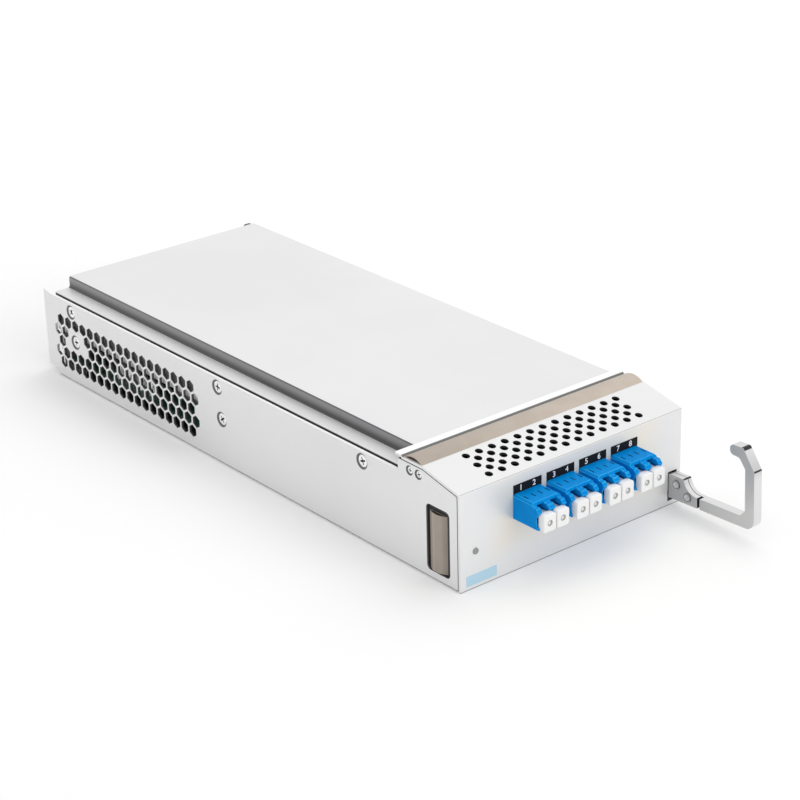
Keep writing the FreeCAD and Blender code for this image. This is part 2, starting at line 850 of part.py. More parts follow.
# Stepped lid: a low ledge along the left, a raised crown, and a flange inside each wall
def make_cover():
    body = new_body("top_cover")
    t = s.cover_sheet
    profile = [(-s.ledge_edge, s.flange_foot), (-s.ledge_edge, s.side_height),
               (-s.step_edge, s.side_height), (-s.step_edge, s.top_height),
               (s.crown_edge, s.top_height), (s.crown_edge, s.flange_foot),
               (s.crown_edge - t, s.flange_foot), (s.crown_edge - t, s.top_height - t),
               (t - s.step_edge, s.top_height - t), (t - s.step_edge, s.side_height - t),
               (t - s.ledge_edge, s.side_height - t), (t - s.ledge_edge, s.flange_foot)]
    pad(body, "XZ_Plane", s.cover_front, s.cover_end, profile)
    dress(body, "Fillet", "Radius", s.ledge_bend, along_y,
          (-s.ledge_edge, None, s.side_height))
    dress(body, "Fillet", "Radius", s.step_bend, along_y, (-s.step_edge, None, s.top_height))
    dress(body, "Fillet", "Radius", s.step_foot_bend, along_y,
          (-s.step_edge, None, s.side_height))
    dress(body, "Fillet", "Radius", s.step_foot_bend + t, along_y,
          (t - s.step_edge, None, s.side_height - t))
    dress(body, "Fillet", "Radius", s.crown_bend, along_y, (s.crown_edge, None, s.top_height))
    ears = [rect(depth - s.ear_width / 2, depth + s.ear_width / 2, s.ear_foot, s.flange_foot)
            for depth in (screw_low_middle, screw_low_rear)]
    pad(body, "YZ_Plane", -s.ledge_edge, t - s.ledge_edge, *ears)
    pad(body, "YZ_Plane", s.crown_edge - t, s.crown_edge, *ears)
    bores = [ring(depth, s.side_screw_high, s.side_screw_shank + s.snug)
             for depth in (s.screw_front, s.screw_middle, s.screw_rear)]
    bores += [ring(depth, s.side_screw_low, s.side_screw_shank + s.snug)
              for depth in (screw_low_middle, screw_low_rear)]
    pocket(body, "YZ_Plane", -wall, wall, *bores)
    keep(body, "top_cover")


# Rear panel with its foot on the tray floor and windows for the backplane connectors
def make_rear_panel():
    body = new_body("rear_panel")
    foot = s.tray_sheet
    outline = [(-s.panel_half_width, foot), (s.panel_half_width, foot),
               (s.panel_half_width, s.panel_top), (-s.panel_notch_edge, s.panel_top),
               (-s.panel_notch_edge, s.panel_notch_height),
               (-s.panel_half_width, s.panel_notch_height)]
    pad(body, "XZ_Plane", panel_front, s.panel_rear, outline)
    pad(body, "XY_Plane", foot, foot + s.panel_sheet,
        rect(-s.panel_half_width, s.panel_half_width,
             panel_front - s.panel_foot_depth, panel_front + s.snug))
    gap = s.socket_gap
    windows = [rect(left - gap, right + gap, board_top - gap, board_top + height + gap)
               for left, right, height in ((s.signal_left, s.signal_right, s.signal_height),
                                           (s.power_left, s.power_right, s.power_height),
                                           (s.guide_left, s.guide_right, s.guide_height))]
    pocket(body, "XZ_Plane", panel_front - gap, s.panel_rear + gap, *windows)
    holes = [ring(across, depth, s.bezel_screw_shank + s.snug)
             for across, depth in foot_screw_places()[:3]]
    pocket(body, "XY_Plane", 0, foot + s.panel_sheet + gap, *holes)
    keep(body, "rear_panel")


def make_screws():
    outer = half.amount
    sides = [sunk_screw(Vector(side * outer, depth, up), Vector(-side, 0, 0),
                         s.side_screw_seat.amount, s.side_screw_shank.amount,
                         s.head_depth.amount, s.side_screw_length.amount)
             for side, depth, up in side_screw_places()]
    keep_shapes("side_screws", sides)
    small = [sunk_screw(Vector(side * outer, depth, up), Vector(-side, 0, 0),
                         s.bezel_screw_seat.amount, s.bezel_screw_shank.amount,
                         s.bezel_screw_depth.amount, s.bezel_screw_length.amount)
             for side, depth, up in bezel_screw_places()]
    keep_shapes("bezel_side_screws", small)
    for label, places in (("bracket_screws", bracket_screw_places()),
                          ("foot_flange_screws", foot_screw_places())):
        below = [sunk_screw(Vector(across, depth, 0), Vector(0, 0, 1),
                             s.bezel_screw_seat.amount, s.bezel_screw_shank.amount,
                             s.bezel_screw_depth.amount, s.bracket_screw_length.amount)
                 for across, depth in places]
        keep_shapes(label, below)


# Conductive gaskets are hollow, of D section: an arc and its chord, less the same within
def arch(width, height, foot):
    span = width / 2
    left, right = Vector(-span, foot, 0), Vector(span, foot, 0)
    bow = Part.Arc(left, Vector(0, foot + height, 0), right)
    return Part.Face(Part.Wire([bow.toShape(), Part.LineSegment(right, left).toShape()]))


def gasket(width, height, length):
    skin = s.gasket_skin.amount
    inner = width.amount - 8 * skin
    face = arch(width.amount, height.amount, 0).cut(arch(inner, height.amount - 2 * skin, skin))
    return face.extrude(Vector(0, 0, length.amount))


def make_gaskets():
    length = s.card_width - 2 * s.top_gasket_inset
    top = gasket(s.top_gasket_width, s.top_gasket_height, length)
    middle = s.top_gasket_front + s.top_gasket_width / 2
    upright = Rotation(Vector(0, 1, 0), Vector(0, 0, 1), Vector(1, 0, 0), "ZXY")
    top.Placement = Placement(Vector(-length.amount / 2, middle.amount, s.top_height.amount),
                              upright)
    keep_shapes("top_emi_gasket", [top])
    front = s.slot_front + s.side_gasket_front_gap
    rear = s.slot_rear - s.side_gasket_rear_gap
    foot = s.slot_foot + s.side_gasket_foot_gap
    side = gasket(rear - front, s.side_gasket_depth, s.slot_top - s.side_gasket_top_gap - foot)
    side.Placement = Placement(Vector(-flange_outside.amount, ((front + rear) / 2).amount,
                                      foot.amount),
                               Rotation(Vector(0, 0, 1), 90))
    keep_shapes("side_emi_gasket", [side])


# Duplex adapter, drawn with X = 0 at its own middle
def make_adapter(label, centre):
    body = new_body(label)
    side = s.adapter_width / 2
    shoulder = adapter_top - s.adapter_shoulder
    nose = -s.adapter_reach
    profile = [(s.bezel_sheet, s.adapter_foot), (s.bezel_sheet, adapter_top),
               (-s.adapter_hood, adapter_top),
               (-s.adapter_hood - s.adapter_shoulder / 2, shoulder),
               (nose, shoulder), (nose, s.adapter_foot)]
    pad(body, "YZ_Plane", -side, side, profile)
    dress(body, "Chamfer", "Size", s.adapter_chamfer, along_y,
          (-side, None, adapter_top), (side, None, adapter_top))
    lean = s.prong_reach * 0.6
    tip = shoulder - s.prong_top
    bridge = s.port_pitch - s.latch_width
    prong = [(nose + s.prong_reach, shoulder), (nose, shoulder - s.prong_top / 3),
             (nose - s.prong_reach, tip), (nose - lean, tip - s.prong_height / 2),
             (nose, tip - s.prong_height), (nose + s.prong_reach, tip - s.prong_height)]
    for left, right in ((-side, bridge / 2 - s.port_pitch + s.snug),
                        (-bridge / 2, bridge / 2),
                        (s.port_pitch - bridge / 2 - s.snug, side)):
        pad(body, "YZ_Plane", left, right, prong)
    pad(body, "XY_Plane", s.adapter_foot, s.adapter_foot + s.lip_height,
        rect(-side, side, nose - s.lip_reach, nose + s.lip_reach))
    back = s.bezel_sheet + s.snug
    ledge = (s.adapter_flange_height - s.adapter_height) / 2
    pad(body, "XZ_Plane", back, back + s.adapter_flange,
        rect(-s.adapter_flange_width / 2, s.adapter_flange_width / 2,
             s.adapter_foot - ledge, adapter_top + ledge))
    pad(body, "XZ_Plane", s.bezel_sheet / 2, back + s.snug,
        rect(-side, side, s.adapter_foot, adapter_top))
    inset = s.adapter_rear_inset
    pad(body, "XZ_Plane", back + s.adapter_flange - s.snug, s.adapter_rear,
        rect(inset - side, side - inset, s.adapter_foot + inset, adapter_top - inset))

    ports = []
    latches = []
    bores = []
    for hand in (-1, 1):
        middle = hand * s.port_pitch / 2
        ports.append(rect(middle - s.port_width / 2, middle + s.port_width / 2,
                          port_foot, port_foot + s.port_height))
        latches.append(rect(middle - s.latch_width / 2, middle + s.latch_width / 2,
                            port_foot + s.port_height - s.snug,
                            port_foot + s.port_height + s.latch_height))
        bores.append(ring(middle, port_middle, s.sleeve_outer + s.snug))
    front = nose - s.prong_reach - s.lip_reach
    pocket(body, "XZ_Plane", front, nose + s.port_depth, *ports)
    pocket(body, "XZ_Plane", front, nose + s.latch_depth, *latches)
    pocket(body, "XZ_Plane", s.adapter_rear - s.port_depth, s.adapter_rear + s.seam, *ports)
    pocket(body, "XZ_Plane", nose, s.adapter_rear - s.seam, *bores)
    open_top = [rect(hand * s.port_pitch / 2 - s.latch_width / 2,
                     hand * s.port_pitch / 2 + s.latch_width / 2,
                     front, -s.adapter_hood - s.snug) for hand in (-1, 1)]
    pocket(body, "XY_Plane", port_foot + s.port_height, adapter_top + s.seam, *open_top)
    marks = []
    for place in (-s.mould_slot_outer, -s.mould_slot_inner,
                  s.mould_slot_inner, s.mould_slot_outer):
        marks.append(rect(place - s.mould_slot_width / 2, place + s.mould_slot_width / 2,
                          -s.mould_slot_front, s.mould_slot_length - s.mould_slot_front))
    pocket(body, "XY_Plane", adapter_top - s.mould_slot_depth, adapter_top + s.seam, *marks)
    keep(body, label, centre)


# Split ceramic sleeves, two in each adapter
def make_sleeves():
    sleeves = []
    start = ((s.adapter_rear - s.adapter_reach - s.sleeve_length) / 2).amount
    for centre in adapter_centres:
        for hand in (-1, 1):
            base = Vector((centre + hand * s.port_pitch / 2).amount, start, port_middle.amount)
            tube = Part.makeCylinder(s.sleeve_outer.amount, s.sleeve_length.amount, base,
                                     along_y)
            bore = Part.makeCylinder(s.sleeve_bore.amount, s.sleeve_length.amount, base,
                                     along_y)
            slit = Part.makeBox(s.sleeve_slit.amount, s.sleeve_length.amount,
                                s.sleeve_outer.amount * 2,
                                base - Vector(s.sleeve_slit.amount / 2, 0, 0))
            sleeves.append(tube.cut(bore).cut(slit))
    keep_shapes("alignment_sleeves", sleeves)


# Dust plug, drawn with X = 0 at the middle of its port
def make_plug(label, centre):
    body = new_body(label)
    seat = -s.adapter_reach - s.plug_stand
    front = seat - s.plug_head
    foot = s.adapter_foot - s.plug_drop
    top = foot + s.plug_height
    across = s.plug_width / 2
    gap = s.plug_shank_gap
    pad(body, "XZ_Plane", front, seat - s.lip_reach, rect(-across, across, foot, top))
    shank = s.port_width / 2 - gap
    pad(body, "XZ_Plane", front + s.plug_round * 2, seat + s.plug_shank,
        rect(-shank, shank, port_foot + gap, port_foot + s.port_height - gap))
    dress(body, "Fillet", "Radius", s.plug_round, along_y,
          (-across, None, foot), (across, None, foot), (-across, None, top), (across, None, top))
    dress_edges(body, "Fillet", "Radius", s.plug_round / 2, front_rim(body, front))
    pocket(body, "XZ_Plane", front - s.seam, front + s.plug_hole_depth,
           ring(0, foot + s.plug_height / 2, s.plug_hole))
    keep(body, label, centre)


def front_rim(body, front):
    return ["Edge%d" % number for number, edge in enumerate(body.Tip.Shape.Edges, start=1)
            if abs(edge.BoundBox.YMin - front.amount) < 0.01
            and abs(edge.BoundBox.YMax - front.amount) < 0.01]


# Labels lie on the face: a strip over each adapter and one plain label at the lower left
def make_labels():
    strips = []
    foot = adapter_top + s.snug
    for centre in adapter_centres:
        left = centre - s.adapter_width / 2
        strips.append(Part.makeBox(s.adapter_width.amount, s.label_sheet.amount,
                                   s.label_height.amount,
                                   Vector(left.amount, -s.label_sheet.amount, foot.amount)))
    keep_shapes("port_label_strips", strips)
    body = new_body("card_label")
    pad(body, "XZ_Plane", -s.label_sheet, 0,
        rect(-s.card_label_left, s.card_label_width - s.card_label_left,
             s.card_label_foot, s.card_label_foot + s.card_label_height))
    keep(body, "card_label")


# Steel plate that holds the adapter flanges against the face, with its two nuts
def make_clamp():
    body = new_body("adapter_clamp_plate")
    front = s.bezel_sheet + s.adapter_flange + 2 * s.snug
    rear = front + s.clamp_sheet
    pad(body, "XZ_Plane", front, rear,
        rect(clamp_left, clamp_right, s.clamp_foot, s.clamp_foot + s.clamp_height))
    side = s.adapter_width / 2
    windows = [rect(centre - side, centre + side, s.adapter_foot, adapter_top)
               for centre in adapter_centres]
    middle = s.clamp_foot + s.clamp_height / 2
    for place in (clamp_left + s.stud_inset, clamp_right - s.stud_inset):
        windows.append(ring(place, middle, s.stud_radius + s.seam))
    pocket(body, "XZ_Plane", front - s.seam, rear + s.seam, *windows)
    keep(body, "adapter_clamp_plate")
    nuts = []
    for place in (clamp_left + s.stud_inset, clamp_right - s.stud_inset):
        base = Vector(place.amount, rear.amount, middle.amount)
        nut = hexagon(s.nut_across.amount, s.nut_height.amount, base, along_y)
        bore = Part.makeCylinder((s.stud_radius + s.snug).amount, s.nut_height.amount, base,
                                 along_y)
        nuts.append(nut.cut(bore))
    keep_shapes("adapter_clamp_nuts", nuts)


# Light pipe from the face back and down to its diode on the board
def make_status_light():
    body = new_body("status_light_pipe")
    leg = s.light_leg / 2
    lens = s.light_length - leg
    pad(body, "XZ_Plane", -s.light_proud, lens,
        ring(-s.light_x, s.light_height, s.light_radius))
    diode_top = board_top + s.led_height
    pad(body, "XY_Plane", diode_top + s.seam, s.light_height + leg,
        rect(-s.light_x - leg, leg - s.light_x, lens - leg, lens + leg))
    dress(body, "Chamfer", "Size", leg, along_x,
          (None, lens + leg, s.light_height + leg))
    keep(body, "status_light_pipe")
    diode = new_body("status_led")
    width = s.led_width / 2
    pad(diode, "XY_Plane", board_top, diode_top,
        rect(-s.light_x - width, width - s.light_x, lens - width, lens + width))
    keep(diode, "status_led")


# Lever outlines run forward (u) and up (w) from the pivot; Y is minus u in the sketch
def lever_outline(points):
    return [(-as_size(u), w) for u, w in points]


def neck_points():
    return [(s.crown_reach, s.lever_top), (s.neck_reach, s.arm_thick - s.lever_foot)]


def heel_points():
    return [(s.claw_reach + s.claw_round, -s.lever_foot), (s.claw_reach, -s.claw_drop),
            (-s.claw_back, -s.claw_drop), (-s.claw_back, s.lever_top)]


def place_lever(body):
    bind(body, "Placement.Base.y", s.pivot_depth)
    bind(body, "Placement.Base.z", s.pivot_height)


def make_lever():
    arm_top = s.arm_thick - s.lever_foot
    hook_inside = s.hook_reach - s.hook_thick
    hook = [(hook_inside - s.hook_chamfer, arm_top),
            (hook_inside, arm_top + s.hook_chamfer),
            (hook_inside, s.hook_bend - s.snug),
            (s.hook_inner_reach, s.hook_inner_rise),
            (s.hook_tip_reach, s.hook_rise - s.hook_lip),
            (s.hook_tip_reach, s.hook_rise), (s.hook_top_reach, s.hook_rise),
            (s.hook_reach, s.hook_bend), (s.hook_reach, -s.lever_foot)]
    handle = new_body("lever_handle")
    seam = s.lever_left + s.latch_plate_thick
    pad(handle, "YZ_Plane", seam, lever_right,
        lever_outline(neck_points() + hook + heel_points()))
    pad(handle, "YZ_Plane", s.lever_left, seam + s.snug,
        lever_outline([(s.shoulder_reach, -s.lever_foot), (s.shoulder_reach, arm_top)] + hook))
    dress(handle, "Fillet", "Radius", s.hook_corner, along_x,
          (None, -s.hook_reach, -s.lever_foot))
    tip = s.hook_tip_radius
    dress(handle, "Fillet", "Radius", tip, along_x,
          (None, -s.hook_tip_reach, s.hook_rise - s.hook_lip),
          (None, -s.hook_tip_reach, s.hook_rise))
    dress(handle, "Fillet", "Radius", s.hook_tip_radius, along_x,
          (None, -s.hook_inner_reach, s.hook_inner_rise))
    dress_lever_root(handle)
    place_lever(handle)
    keep(handle, "lever_handle", 0, s.pivot_height)

    plate = new_body("lever_latch_plate")
    outline = neck_points() + [(s.plate_reach, arm_top), (s.plate_reach, -s.lever_foot)]
    pad(plate, "YZ_Plane", s.lever_left, seam - s.snug / 5,
        lever_outline(outline + heel_points()))
    dress_lever_root(plate)
    place_lever(plate)
    keep(plate, "lever_latch_plate", 0, s.pivot_height)

    start = (s.lever_left - s.rivet_head_thick).amount
    rivets = []
    for reach, rise in ((s.rivet_back_reach, s.rivet_back_rise),
                        (s.rivet_front_reach, -s.rivet_front_drop)):
        head = s.rivet_head.amount
        cap = s.rivet_head_thick.amount
        shank = s.rivet_radius.amount
        thick = s.lever_thick.amount
        profile = [(0, head * 0.75), (cap / 2, head), (cap, head), (cap, shank),
                   (cap + thick, shank)]
        rivets.append(turned(profile, Vector(start, -reach.amount, rise.amount), along_x))
    group = keep_shapes("lever_rivets", rivets)
    place_lever(group)
    nodes[-1] = (group, 0, s.pivot_height)


# The neck's concave sweep, the rounded heel and claw, and the holes for pin and rivets
def dress_lever_root(body):
    arm_top = s.arm_thick - s.lever_foot
    dress(body, "Fillet", "Radius", s.neck_radius, along_x, (None, -s.neck_reach, arm_top))
    dress(body, "Fillet", "Radius", s.heel_radius, along_x, (None, s.claw_back, s.lever_top))
    dress(body, "Fillet", "Radius", s.claw_round, along_x,
          (None, s.claw_back, -s.claw_drop), (None, -s.claw_reach, -s.claw_drop))
    holes = [ring(0, 0, s.pin_radius + s.pin_play)]
    for reach, rise in ((s.rivet_back_reach, s.rivet_back_rise),
                        (s.rivet_front_reach, -s.rivet_front_drop)):
        holes.append(ring(-reach, rise, s.rivet_radius + s.snug / 5))
    pocket(body, "YZ_Plane", s.lever_left - s.seam, lever_right + s.seam, *holes)


# Bracket, pivot pin and washer that carry the lever behind the face
def make_lever_seat():
    body = new_body("lever_bracket")
    ear_left = ear_right - s.ear_sheet
    front = s.bezel_sheet + s.seam
    foot = s.tray_sheet + s.snug
    pad(body, "XY_Plane", foot, foot + s.ear_sheet,
        rect(ear_right - s.bracket_foot_width, ear_right, front, front + s.bracket_depth))
    pad(body, "YZ_Plane", ear_left, ear_right,
        rect(front, front + s.bracket_ear_depth, foot, s.bracket_ear_top))
    dress(body, "Fillet", "Radius", s.ear_sheet * 3, along_x,
          (None, front + s.bracket_ear_depth, s.bracket_ear_top))
    pocket(body, "YZ_Plane", ear_left - s.seam, ear_right + s.seam,
           ring(s.pivot_depth, s.pivot_height, s.pin_radius + s.snug))
    holes = [ring(across, depth, s.bezel_screw_shank + s.snug)
             for across, depth in bracket_screw_places()]
    pocket(body, "XY_Plane", 0, foot + s.ear_sheet + s.seam, *holes)
    keep(body, "lever_bracket")

    start = (ear_left - s.pin_head_thick).amount
    cap = s.pin_head_thick.amount
    length = (half - s.seam - ear_left + s.pin_head_thick).amount
    profile = [(0, s.pin_head.amount), (cap, s.pin_head.amount), (cap, s.pin_radius.amount),
               (length, s.pin_radius.amount)]
    pin = turned(profile, Vector(start, s.pivot_depth.amount, s.pivot_height.amount), along_x)
    keep_shapes("lever_pivot_pin", [pin])

    washer = new_body("lever_friction_washer")
    middle = (lever_right + wall) / 2
    pad(washer, "YZ_Plane", middle - s.washer_thick / 2, middle + s.washer_thick / 2,
        ring(s.pivot_depth, s.pivot_height, s.washer_radius),
        ring(s.pivot_depth, s.pivot_height, s.pin_radius + s.snug))
    keep(washer, "lever_friction_washer")


# Main board on its standoffs
def make_board():
    body = new_body("main_board")
    pad(body, "XY_Plane", board_foot, board_top, rect(-edge, edge, s.board_front, s.board_rear))
    holes = [ring(across, depth, s.board_hole) for across, depth in standoff_places()]
    pocket(body, "XY_Plane", board_foot - s.seam, board_top + s.seam, *holes)
    keep(body, "main_board")
    standoffs = []
    screws = []
    for across, depth in standoff_places():
        base = Vector(across, depth, s.tray_sheet.amount)
        post = hexagon(s.standoff_across.amount, s.standoff_height.amount, base, along_z)
        bore = Part.makeCylinder(s.standoff_bore.amount, s.standoff_height.amount, base)
        standoffs.append(post.cut(bore))
        cap = s.board_screw_cap.amount
        profile = [(-s.board_screw_length.amount, s.board_screw_shank.amount),
                   (0, s.board_screw_shank.amount), (0, s.board_screw_head.amount),
                   (cap, s.board_screw_head.amount)]
        screws.append(turned(profile, Vector(across, depth, board_top.amount), along_z))
    keep_shapes("board_standoffs", standoffs)
    keep_shapes("board_screws", screws)


# Optical engine: a milled housing with its lid, corner screws and two diode barrels
def make_engine():
    body = new_body("optical_engine_housing")
    left, right, front, rear = s.engine_left, s.engine_right, s.engine_front, s.engine_rear
    rim = part_foot + s.engine_height
    side = s.engine_wall
    pad(body, "XY_Plane", part_foot, rim, rect(left, right, front, rear))
    dress(body, "Fillet", "Radius", s.engine_corner, along_z,
          *[(across, depth, None) for across in (left, right) for depth in (front, rear)])
    post = side + s.engine_post * 2
    cavity = [(left + post, front + side), (right - post, front + side),
              (right - post, front + post), (right - side, front + post),
              (right - side, rear - post), (right - post, rear - post),
              (right - post, rear - side), (left + post, rear - side),
              (left + post, rear - post), (left + side, rear - post),
              (left + side, front + post), (left + post, front + post)]
    pocket(body, "XY_Plane", part_foot + side, rim + s.seam, cavity)
    inset = side + s.engine_post
    places = [(across, depth) for across in (left + inset, right - inset)
              for depth in (front + inset, rear - inset)]
    pocket(body, "XY_Plane", rim - s.engine_screw_length, rim + s.seam,
           *[ring(across, depth, s.engine_screw + s.snug) for across, depth in places])
    middle = (left + right) / 2
    barrels = [ring(middle + hand * s.diode_pitch / 2, part_foot + s.diode_height,
                    s.diode_radius + s.snug) for hand in (-1, 1)]
    pocket(body, "XZ_Plane", front - s.seam, front + side + s.seam, *barrels)
    keep(body, "optical_engine_housing")

    lid = new_body("optical_engine_lid")
    pad(lid, "XY_Plane", rim, rim + s.engine_lid, rect(left, right, front, rear))
    dress(lid, "Fillet", "Radius", s.engine_corner, along_z,
          *[(across, depth, None) for across in (left, right) for depth in (front, rear)])
    pocket(lid, "XY_Plane", rim - s.seam, rim + s.engine_lid + s.seam,
           *[ring(across, depth, s.engine_screw + s.snug) for across, depth in places])
    keep(lid, "optical_engine_lid")

    top = (rim + s.engine_lid).amount
    cap = s.engine_screw_cap.amount
    length = (s.engine_screw_length - s.snug).amount
    profile = [(-length, s.engine_screw.amount), (0, s.engine_screw.amount),
               (0, s.engine_screw_head.amount), (cap, s.engine_screw_head.amount)]
    keep_shapes("optical_engine_screws",
                [turned(profile, Vector(across.amount, depth.amount, top), along_z)
                 for across, depth in places])

    flange = s.diode_flange_thick.amount
    profile = [(0, s.diode_flange.amount), (flange, s.diode_flange.amount),
               (flange, s.diode_radius.amount), (s.diode_length.amount, s.diode_radius.amount)]
    for label, hand in (("laser_diode_barrel", -1), ("photodiode_barrel", 1)):
        base = Vector((middle + hand * s.diode_pitch / 2).amount, front.amount - flange,
                      (part_foot + s.diode_height).amount)
        keep_shapes(label, [turned(profile, base, along_y)])


# Eight-way optical switch
def make_switch():
    body = new_body("optical_switch")
    left, right, front, rear = s.switch_left, s.switch_right, s.switch_front, s.switch_rear
    top = part_foot + s.switch_height
    pad(body, "XY_Plane", part_foot, top, rect(left, right, front, rear))
    dress(body, "Fillet", "Radius", s.switch_round, along_z,
          *[(across, depth, None) for across in (left, right) for depth in (front, rear)])
    keep(body, "optical_switch")


# Fibre spool: a tray with a hub, a rim and retaining tabs that leave the coil space open
def make_spool():
    body = new_body("fibre_spool")
    across, depth = s.spool_x, s.spool_depth
    base_top = part_foot + s.spool_base
    rim_top = part_foot + s.spool_height
    pad(body, "XY_Plane", part_foot, base_top, ring(across, depth, s.spool_radius))
    pad(body, "XY_Plane", base_top - s.snug, rim_top, ring(across, depth, s.spool_radius),
        ring(across, depth, s.spool_radius - s.spool_wall))
    pad(body, "XY_Plane", base_top - s.snug, rim_top, ring(across, depth, s.spool_hub),
        ring(across, depth, s.spool_hub - s.spool_wall))
    tab = pad(body, "XY_Plane", rim_top - s.spool_base, rim_top,
              rect(across + s.spool_radius - s.spool_tab, across + s.spool_radius - s.snug,
                   depth - s.spool_tab_width / 2, depth + s.spool_tab_width / 2))
    axis = body.newObject("PartDesign::Line", "spool_axis")
    bind(axis, "Placement.Base.x", across)
    bind(axis, "Placement.Base.y", depth)
    pattern = body.newObject("PartDesign::PolarPattern", "PolarPattern")
    pattern.Originals = [tab]
    pattern.Axis = (axis, [""])
    pattern.Angle = 360
    bind(pattern, "Occurrences", s.spool_tabs)
    body.Tip = pattern
    doc.recompute()
    keep(body, "fibre_spool")


# Processor under its finned heat sink, memory, power converter and capacitors
def make_electronics():
    chip = new_body("processor_chip")
    reach = s.chip_width / 2
    chip_top = part_foot + s.chip_height
    pad(chip, "XY_Plane", part_foot, chip_top,
        rect(s.chip_x - reach, s.chip_x + reach, s.chip_depth - reach, s.chip_depth + reach))
    keep(chip, "processor_chip")

    sink = new_body("processor_heat_sink")
    reach = s.sink_width / 2
    base_top = chip_top + s.sink_base
    pad(sink, "XY_Plane", chip_top, base_top,
        rect(s.chip_x - reach, s.chip_x + reach, s.chip_depth - reach, s.chip_depth + reach))
    first = s.chip_depth - reach
    fin = pad(sink, "XY_Plane", base_top - s.snug, chip_top + s.sink_height,
              rect(s.chip_x - reach, s.chip_x + reach, first, first + s.sink_fin))
    repeat(sink, fin, "Y_Axis", (s.sink_width - s.sink_fin) / (s.sink_fins - 1), s.sink_fins)
    keep(sink, "processor_heat_sink")

    chips = []
    for i in range(int(s.memory_count.amount)):
        left = s.memory_left + i * s.memory_pitch
        chips.append(Part.makeBox(s.memory_width.amount, s.memory_length.amount,
                                  s.memory_height.amount,
                                  Vector(left.amount, s.memory_front.amount,
                                         part_foot.amount)))
    keep_shapes("memory_chips", chips)

    brick = new_body("power_converter")
    pad(brick, "XY_Plane", part_foot, part_foot + s.brick_height,
        rect(s.brick_left, s.brick_right, s.brick_front, s.brick_rear))
    keep(brick, "power_converter")

    cans = [Part.makeCylinder(s.can_radius.amount, s.can_height.amount,
                              Vector(s.can_x.amount, (s.can_front + i * s.can_pitch).amount,
                                     part_foot.amount))
            for i in range(int(s.can_count.amount))]
    keep_shapes("power_capacitors", cans)


# Backplane connectors on the rear edge of the board
def make_connectors():
    signal = new_body("signal_connector")
    top = board_top + s.signal_height
    pad(signal, "XZ_Plane", s.socket_front, s.socket_end,
        rect(s.signal_left, s.signal_right, board_top, top))
    pitch = (s.signal_right - s.signal_left) / s.signal_wafers
    left = s.signal_left + pitch / 2 - s.signal_slot / 2
    slot = pocket(signal, "XZ_Plane", s.socket_end - s.signal_slot_depth,
                  s.socket_end + s.seam,
                  rect(left, left + s.signal_slot, board_top + s.signal_slot_inset,
                       top - s.signal_slot_inset))
    repeat(signal, slot, "X_Axis", pitch, s.signal_wafers)
    keep(signal, "signal_connector")

    power = new_body("power_connector")
    top = board_top + s.power_height
    pad(power, "XZ_Plane", s.socket_front, s.socket_end,
        rect(s.power_left, s.power_right, board_top, top))
    pitch = (s.power_right - s.power_left) / s.power_blades
    left = s.power_left + pitch / 2 - s.power_slot / 2
    slot = pocket(power, "XZ_Plane", s.socket_end - s.power_slot_depth,
                  s.socket_end + s.seam,
                  rect(left, left + s.power_slot, board_top + s.signal_slot_inset,
                       top - s.signal_slot_inset))
    repeat(power, slot, "X_Axis", pitch, s.power_blades)
    keep(power, "power_connector")

    guide = new_body("guide_receptacle")
    pad(guide, "XZ_Plane", s.socket_front, s.socket_end,
        rect(s.guide_left, s.guide_right, board_top, board_top + s.guide_height))
    pocket(guide, "XZ_Plane", s.socket_end - s.guide_bore_depth, s.socket_end + s.seam,
           ring((s.guide_left + s.guide_right) / 2, board_top + s.guide_height / 2,
                s.guide_bore))
    keep(guide, "guide_receptacle")

    shoe = new_body("rear_guide_shoe")
    inner = s.crown_edge - s.cover_sheet - s.snug
    pad(shoe, "XZ_Plane", s.panel_rear, s.shoe_end,
        rect(s.shoe_left, inner, s.shoe_foot, s.shoe_top))
    pad(shoe, "XZ_Plane", s.cover_end + s.snug, s.shoe_end,
        rect(inner - s.snug, s.shoe_right, s.shoe_foot, s.shoe_top))
    dress(shoe, "Fillet", "Radius", s.shoe_round, along_x, (None, s.shoe_end, s.shoe_top))
    keep(shoe, "rear_guide_shoe")


make_tray()
make_bezel()
make_cover()
make_rear_panel()
make_screws()
make_gaskets()
for number, centre in enumerate(adapter_centres, start=1):
    make_adapter("lc_adapter_%d" % number, centre)
make_sleeves()
for number in range(8):
    hand = number % 2 * 2 - 1
    make_plug("dust_plug_%d" % (number + 1),
              adapter_centres[number // 2] + hand * s.port_pitch / 2)
make_labels()
make_clamp()
make_status_light()
make_lever()
make_lever_seat()
make_board()
make_engine()
make_switch()
make_spool()
make_electronics()
make_connectors()

# Every piece moves back by the same amount, so the origin is the middle of the tray floor
origin_depth = (tray_start + s.tray_end) / 2
lever_labels = ("lever_handle", "lever_latch_plate", "lever_rivets")
for thing, shift_x, shift_z in nodes:
    shift_y = -origin_depth
    if thing.Label in lever_labels:
        shift_y = s.pivot_depth - origin_depth
        thing.Placement = Placement(Vector(0, 0, 0), Rotation(Vector(-1, 0, 0),
                                                              s.lever_tilt.amount))
        bind(thing, "Placement.Rotation.Angle", s.lever_tilt)
    bind(thing, "Placement.Base.x", shift_x)
    bind(thing, "Placement.Base.y", shift_y)
    bind(thing, "Placement.Base.z", shift_z)
doc.recompute()

# Nothing is written unless every object and every piece is sound
for thing in doc.Objects:
    if "Invalid" in thing.State or "Error" in thing.State:
        raise RuntimeError("%s failed: %s" % (thing.Label, thing.State))
for thing, shift_x, shift_z in nodes:
    if thing.Shape.isNull() or not thing.Shape.isValid() or not thing.Shape.Solids:
        raise RuntimeError("%s has no sound solid" % thing.Label)

